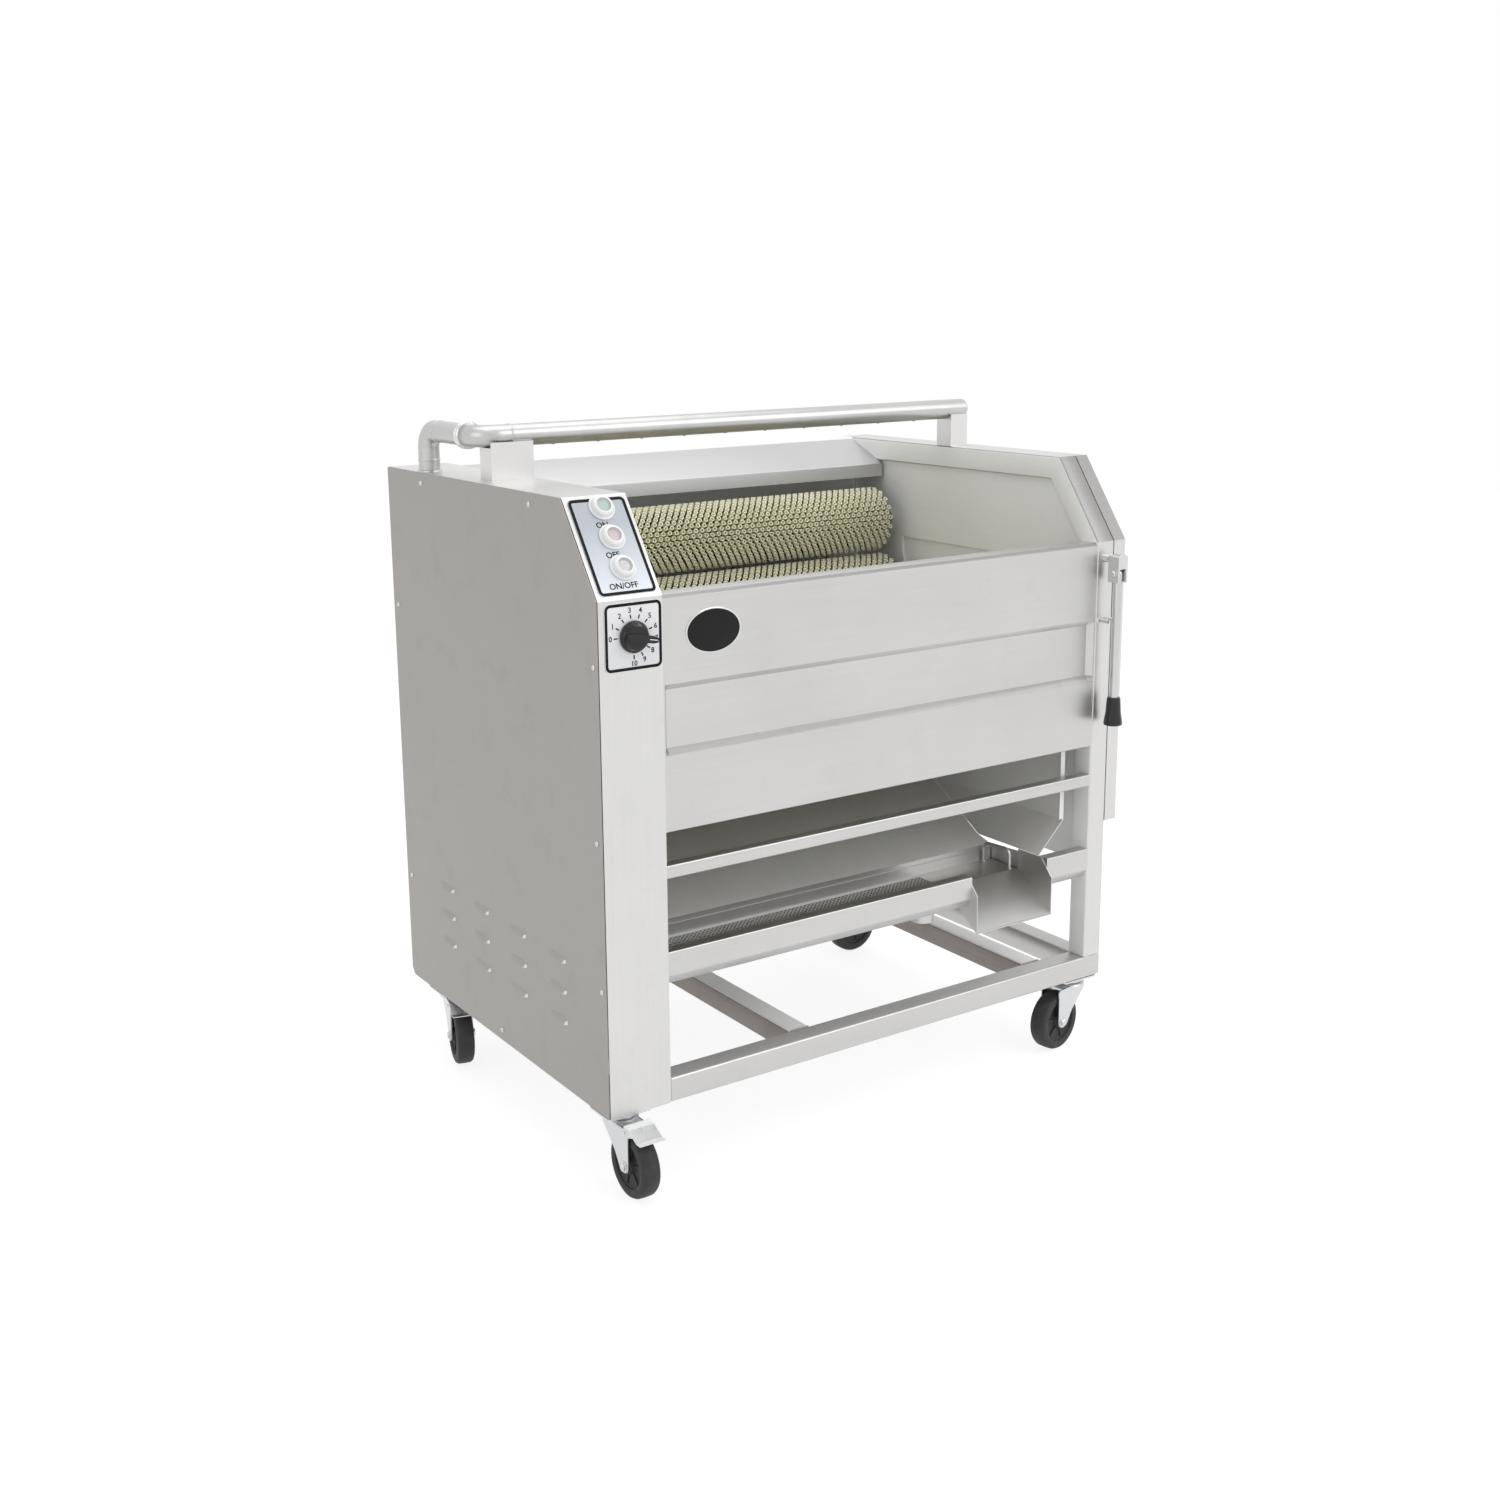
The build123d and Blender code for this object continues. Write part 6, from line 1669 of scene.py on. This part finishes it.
@dataclass
class Castor:
    """One swivel castor in its own place: the king pin is its z axis and the wheel trails along -y."""

    name: str
    place: tuple[float, float]
    turn: float
    braked: bool = False
    trail: float = 40.0
    wheel_radius: float = 50.0
    wheel_width: float = 30.0
    fork_half: float = 19.5

    def build(self, make: Maker) -> None:
        """Make the castor's fork, wheel and pedal."""
        spot = Matrix.Translation((*self.place, 0)) @ Matrix.Rotation(math.radians(self.turn), 4, "Z")
        self.fork(make, spot)
        self.wheel(make, spot)
        if self.braked:
            self.pedal(make, spot)

    def fork(self, make: Maker, spot: Matrix) -> None:
        """Make the stamped fork with its domed crown and axle bolt."""
        half, r = self.fork_half, self.wheel_radius
        shape = Shape().lathe([(107, 26.4), (108.2, 27.0), (110.0, 25.8), (111.0, 23.6)], ORIGIN, Z_WAY, 36)
        shape.block((-half, -self.trail, 107.0), (half, 20.0, 109.5), 1.0, 1)
        leg = [(20, 109.5), (20, 99), (-14, 66), (-29, 43), (-40, 38.5)]
        leg += [(-51.5, 46), (-51.5, 96), (-51, 109), (-40, 109.5)]
        leg = round_line(leg, [3.0, 8.0, 18.0, 11.0, 11.0, 8.0, 14.0, 4.0, 4.0], 3, closed=True)
        for low in (-half, half - 2.5):
            shape.prism(leg, low, low + 2.5, 0)
        for side in (-1, 1):
            face = half * side
            shape.lathe([(0, 8.6), (0.8, 8.6), (1.2, 8.0)], (face, -self.trail, r), (side, 0, 0), 24)
            shape.lathe([(1.0, 6.4), (3.4, 6.4), (4.0, 5.7)], (face, -self.trail, r), (side, 0, 0), 6)
        shape.rod((-half, -self.trail, r), (half, -self.trail, r), 4.0, 16)
        piece = shape.moved(spot)
        make.piece(f"{self.name}_yoke", piece, Finishes.zinc, f"{self.name}_swivel", "zinc", [f"{self.name}_fork"], 0.5)

    def wheel(self, make: Maker, spot: Matrix) -> None:
        """Make the wheel: tyre, web with ribs and hub."""
        half, r = self.wheel_width / 2, self.wheel_radius
        rim = [(half - 4.2, 33.5), (half - 1.4, 34.5), (half, 37.0), (half, 43.5)]
        rim += [(half - 1.6, 47.4), (half - 5.4, 49.6), (0.0, 50.0)]
        tyre = [(-a, b) for a, b in rim] + [(a, b) for a, b in reversed(rim[:-1])]
        axle = Matrix.Translation((0, -self.trail, r))
        place = spot @ axle
        ring = Shape().tube(tyre, ORIGIN, X_WAY, 64).moved(place)
        body_name, slot = f"{self.name}_roll", "rubber_wheel"
        make.piece(f"{self.name}_tyre", ring, Finishes.tyre, body_name, slot, [f"{self.name}_wheel"])
        web = [(16.6, 4.3), (16.6, 10.6), (15.8, 12.0), (9.4, 14.0), (9.0, 29.0), (10.6, 32.0), (half - 3.4, 34.2)]
        body = Shape().lathe([(-a, b) for a, b in web] + [(a, b) for a, b in reversed(web)], ORIGIN, X_WAY, 48)
        for n in range(6):
            turn = Matrix.Rotation(math.radians(60 * n + 15), 4, "X")
            for side in (-1, 1):
                low, high = sorted((side * 8.6, side * 11.6))
                body.add(Shape().block((low, -1.6, 12.5), (high, 1.6, 32.0), 0.6, 2).moved(turn))
        make.piece(f"{self.name}_hub", body.moved(place), Finishes.tyre, body_name, slot, bevel=0.3)

    def pedal(self, make: Maker, spot: Matrix) -> None:
        """Make the pressed brake pedal with its turned-down sides."""
        y, z = -self.trail - 6.0, 2 * self.wheel_radius + 6.0
        line = [(y + 2, z + 8), (y - 12, z + 6.5), (y - 34, z - 5), (y - 44, z - 5)]
        shape = folded(Shape(), line, 1.5, -21.3, 21.3, 4.0)
        cheek = [(y + 2, z + 8), (y - 12, z + 6.5), (y - 24, z + 0.4), (y - 8, z - 5), (y + 5, z - 5)]
        cheek = round_line(cheek, [1.0, 4.0, 1.0, 4.0, 4.0], 3, closed=True)
        for low in (-21.3, 19.8):
            shape.prism(cheek, low, low + 1.5, 0)
        shape.rod((-23.0, y, z), (23.0, y, z), 2.5, 14, 0.5)
        for n in range(3):
            shape.wire([(-16, y - 36 - 3 * n, z - 5.0), (16, y - 36 - 3 * n, z - 5.0)], 0.8, 1.0, 8)
        nodes = [f"{self.name}_pedal"]
        make.piece(f"{self.name}_tread", shape.moved(spot), Finishes.zinc, f"{self.name}_brake", "zinc", nodes, 0.3)


@dataclass
class Castors:
    """The four castors and their plates."""

    width: float = 976.0
    insets: tuple[float, float] = (36.0, 42.0)
    front: float = 31.0
    rear: float = 592.0
    turns: dict[str, float] = field(
        default_factory=lambda: {"front_left": 0.0, "front_right": -80.0, "rear_left": -14.7, "rear_right": -90.0}
    )

    def build(self, make: Maker) -> None:
        """Make each castor, then the plates and races above them."""
        plates = Shape()
        for name, turn in self.turns.items():
            x = self.insets[0] if name.endswith("left") else self.width - self.insets[1]
            y = self.front if name.startswith("front") else self.rear
            Castor(name, (x, y), turn, name.endswith("left")).build(make)
            plates.block((x - 36, y - 30, 119.0), (x + 36, y + 30, 122.0), 5.0, 2)
            race = [(111.3, 20.4), (112.2, 22.6), (115.0, 24.6), (117.6, 24.8), (119.2, 23.0)]
            plates.lathe(race, (x, y, 0), Z_WAY, 36)
            plates.lathe([(103.0, 7.6), (103.6, 8.6), (106.7, 9.0)], (x, y, 0), Z_WAY, 24)
            plates.rod((x, y, 106.0), (x, y, 120.0), 6.0, 20)
        make.piece("castor_tops", plates, Finishes.zinc, slot="zinc", nodes=["castor_plates"], bevel=0.4)


@dataclass
class DriveParts:
    """What the closed housing holds, kept in its own shape."""

    finishes: dict[str, Finish] = field(default_factory=lambda: {
        "roller_chains": Finishes.chain, "roller_bearings": Finishes.chain, "gear_motor": Finishes.cast,
        "drive_sprocket": Finishes.bright, "speed_controls": Finishes.switch,
    })

    def build(self, make: Maker) -> None:
        """Give each drive part its finish."""
        for node, finish in self.finishes.items():
            make.dress(node, finish)


@dataclass
class Studio:
    """A pale floor, a bright surround, soft lamps and the camera."""

    camera: Point = (-1142.4, -2029.0, 1277.4)
    yaw: float = 32.939
    pitch: float = 12.137
    roll: float = -0.760
    focal: float = 1755.27
    middle: tuple[float, float] = (704.58, 672.61)
    image: float = 1500.0
    lamps: tuple[tuple[str, Point, Point, tuple[float, float], float], ...] = (
        ("key_lamp", (1.9, -2.9, 3.0), (0.1, 0.0, 0.6), (2.6, 2.0), 34.0),
        ("top_lamp", (0.0, 0.2, 3.4), (0.0, 0.0, 0.8), (3.0, 2.2), 24.0),
        ("side_lamp", (-3.4, -0.6, 1.9), (0.0, 0.0, 0.6), (2.0, 2.0), 10.0),
    )

    def build(self, make: Maker) -> None:
        """Make the surround, the lamps and the camera."""
        self.floor(make)
        self.surround()
        for lamp in self.lamps:
            self.lamp(*lamp)
        self.lens(make)

    def floor(self, make: Maker) -> None:
        """Lay the floor: plain paint, brightened to white for the camera."""
        shape = Shape().rows([[Vector((-8000, -8000, 0)), Vector((9000, -8000, 0))],
                              [Vector((-8000, 9000, 0)), Vector((9000, 9000, 0))]], wrap=False, caps=False)
        mesh = make.mesh("studio_floor", shape)
        floor = link("studio_floor", mesh)
        material = bpy.data.materials.new("studio_floor")
        material.use_nodes = True
        graph = Graph(material.node_tree)
        paint = graph.principled(Base_Color=(0.88, 0.88, 0.88), Roughness=0.8)
        glow = graph.node("ShaderNodeEmission", None, {"Color": (1.0, 1.0, 1.0), "Strength": 1.2})
        graph.surface(graph.node("ShaderNodeMixShader", None, {0: self.seen(graph) * 0.7, 1: paint, 2: glow}))
        mesh.materials.append(material)

    @staticmethod
    def seen(graph: Graph) -> Sock:
        """Return 1 for what the camera sees, also in metal and through glass."""
        path = graph.node("ShaderNodeLightPath").socket.node
        rays = [Sock(graph, path.outputs[name]) for name in ("Is Camera Ray", "Is Glossy Ray", "Is Transmission Ray")]
        return rays[0].does("MAXIMUM", rays[1]).does("MAXIMUM", rays[2])

    def surround(self) -> None:
        """Light the world, brighter towards +x, and show white behind the machine."""
        world = bpy.data.worlds.new("studio")
        bpy.context.scene.world = world
        world.use_nodes = True
        graph = Graph(world.node_tree)
        way = graph.node("ShaderNodeTexCoord", None, None, "Generated")
        level = graph.part(way, "X").span(-0.75, 0.35, 0.5, 0.9)
        soft = graph.node("ShaderNodeBackground", None, {"Color": (1.0, 1.0, 1.0), "Strength": level})
        white = graph.node("ShaderNodeBackground", None, {"Color": (1.0, 1.0, 1.0), "Strength": 1.0})
        mixed = graph.node("ShaderNodeMixShader", None, {0: self.seen(graph), 1: soft, 2: white})
        graph.node("ShaderNodeOutputWorld", None, {"Surface": mixed})

    def lamp(self, name: str, place: Point, aim: Point, size: tuple[float, float], power: float) -> None:
        """Hang one soft lamp, in the frame's metres."""
        data = bpy.data.lights.new(name, "AREA")
        data.shape, data.size, data.size_y, data.energy = "RECTANGLE", *size, power
        made = link(name, data)
        made.location = place
        made.rotation_euler = (Vector(aim) - Vector(place)).to_track_quat("-Z", "Y").to_euler()

    def lens(self, make: Maker) -> None:
        """Stand the camera at the machine's three-quarter view."""
        yaw, pitch, roll = (math.radians(angle) for angle in (self.yaw, self.pitch, self.roll))
        ahead = Vector((math.sin(yaw) * math.cos(pitch), math.cos(yaw) * math.cos(pitch), -math.sin(pitch)))
        right = Vector((math.cos(yaw), -math.sin(yaw), 0.0))
        up = right.cross(ahead)
        across = right * math.cos(roll) + up * math.sin(roll)
        above = up * math.cos(roll) - right * math.sin(roll)
        data = bpy.data.cameras.new("camera")
        data.lens, data.sensor_width = 36.0 * self.focal / self.image, 36.0
        data.shift_x = 0.5 - self.middle[0] / self.image
        data.shift_y = self.middle[1] / self.image - 0.5
        made = link("camera", data)
        turn = Matrix((across, above, -ahead)).transposed().to_4x4()
        made.matrix_world = Matrix.Translation(make.to_frame @ Vector(self.camera)) @ turn
        bpy.context.scene.camera = made


def main() -> None:
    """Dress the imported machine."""
    logging.basicConfig(level=logging.INFO, format="%(name)s: %(message)s")
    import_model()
    bpy.context.scene.view_settings.view_transform = "Standard"
    make = Maker()
    outline = BodyOutline()
    assemblies = (
        Studio(), BaseFrame(), EndFrame(outline), DriveHousing(outline), ControlFace(outline), SpeedDial(),
        FrontPanel(), DischargeGate(), WasteGutter(), RearCover(), SprayPipe(), BrushTrough(), Castors(), DriveParts(),
    )
    for assembly in assemblies:
        assembly.build(make)
        LOG.info("%s is done", type(assembly).__name__)
    bpy.context.view_layer.update()


if __name__ == "__main__":
    main()
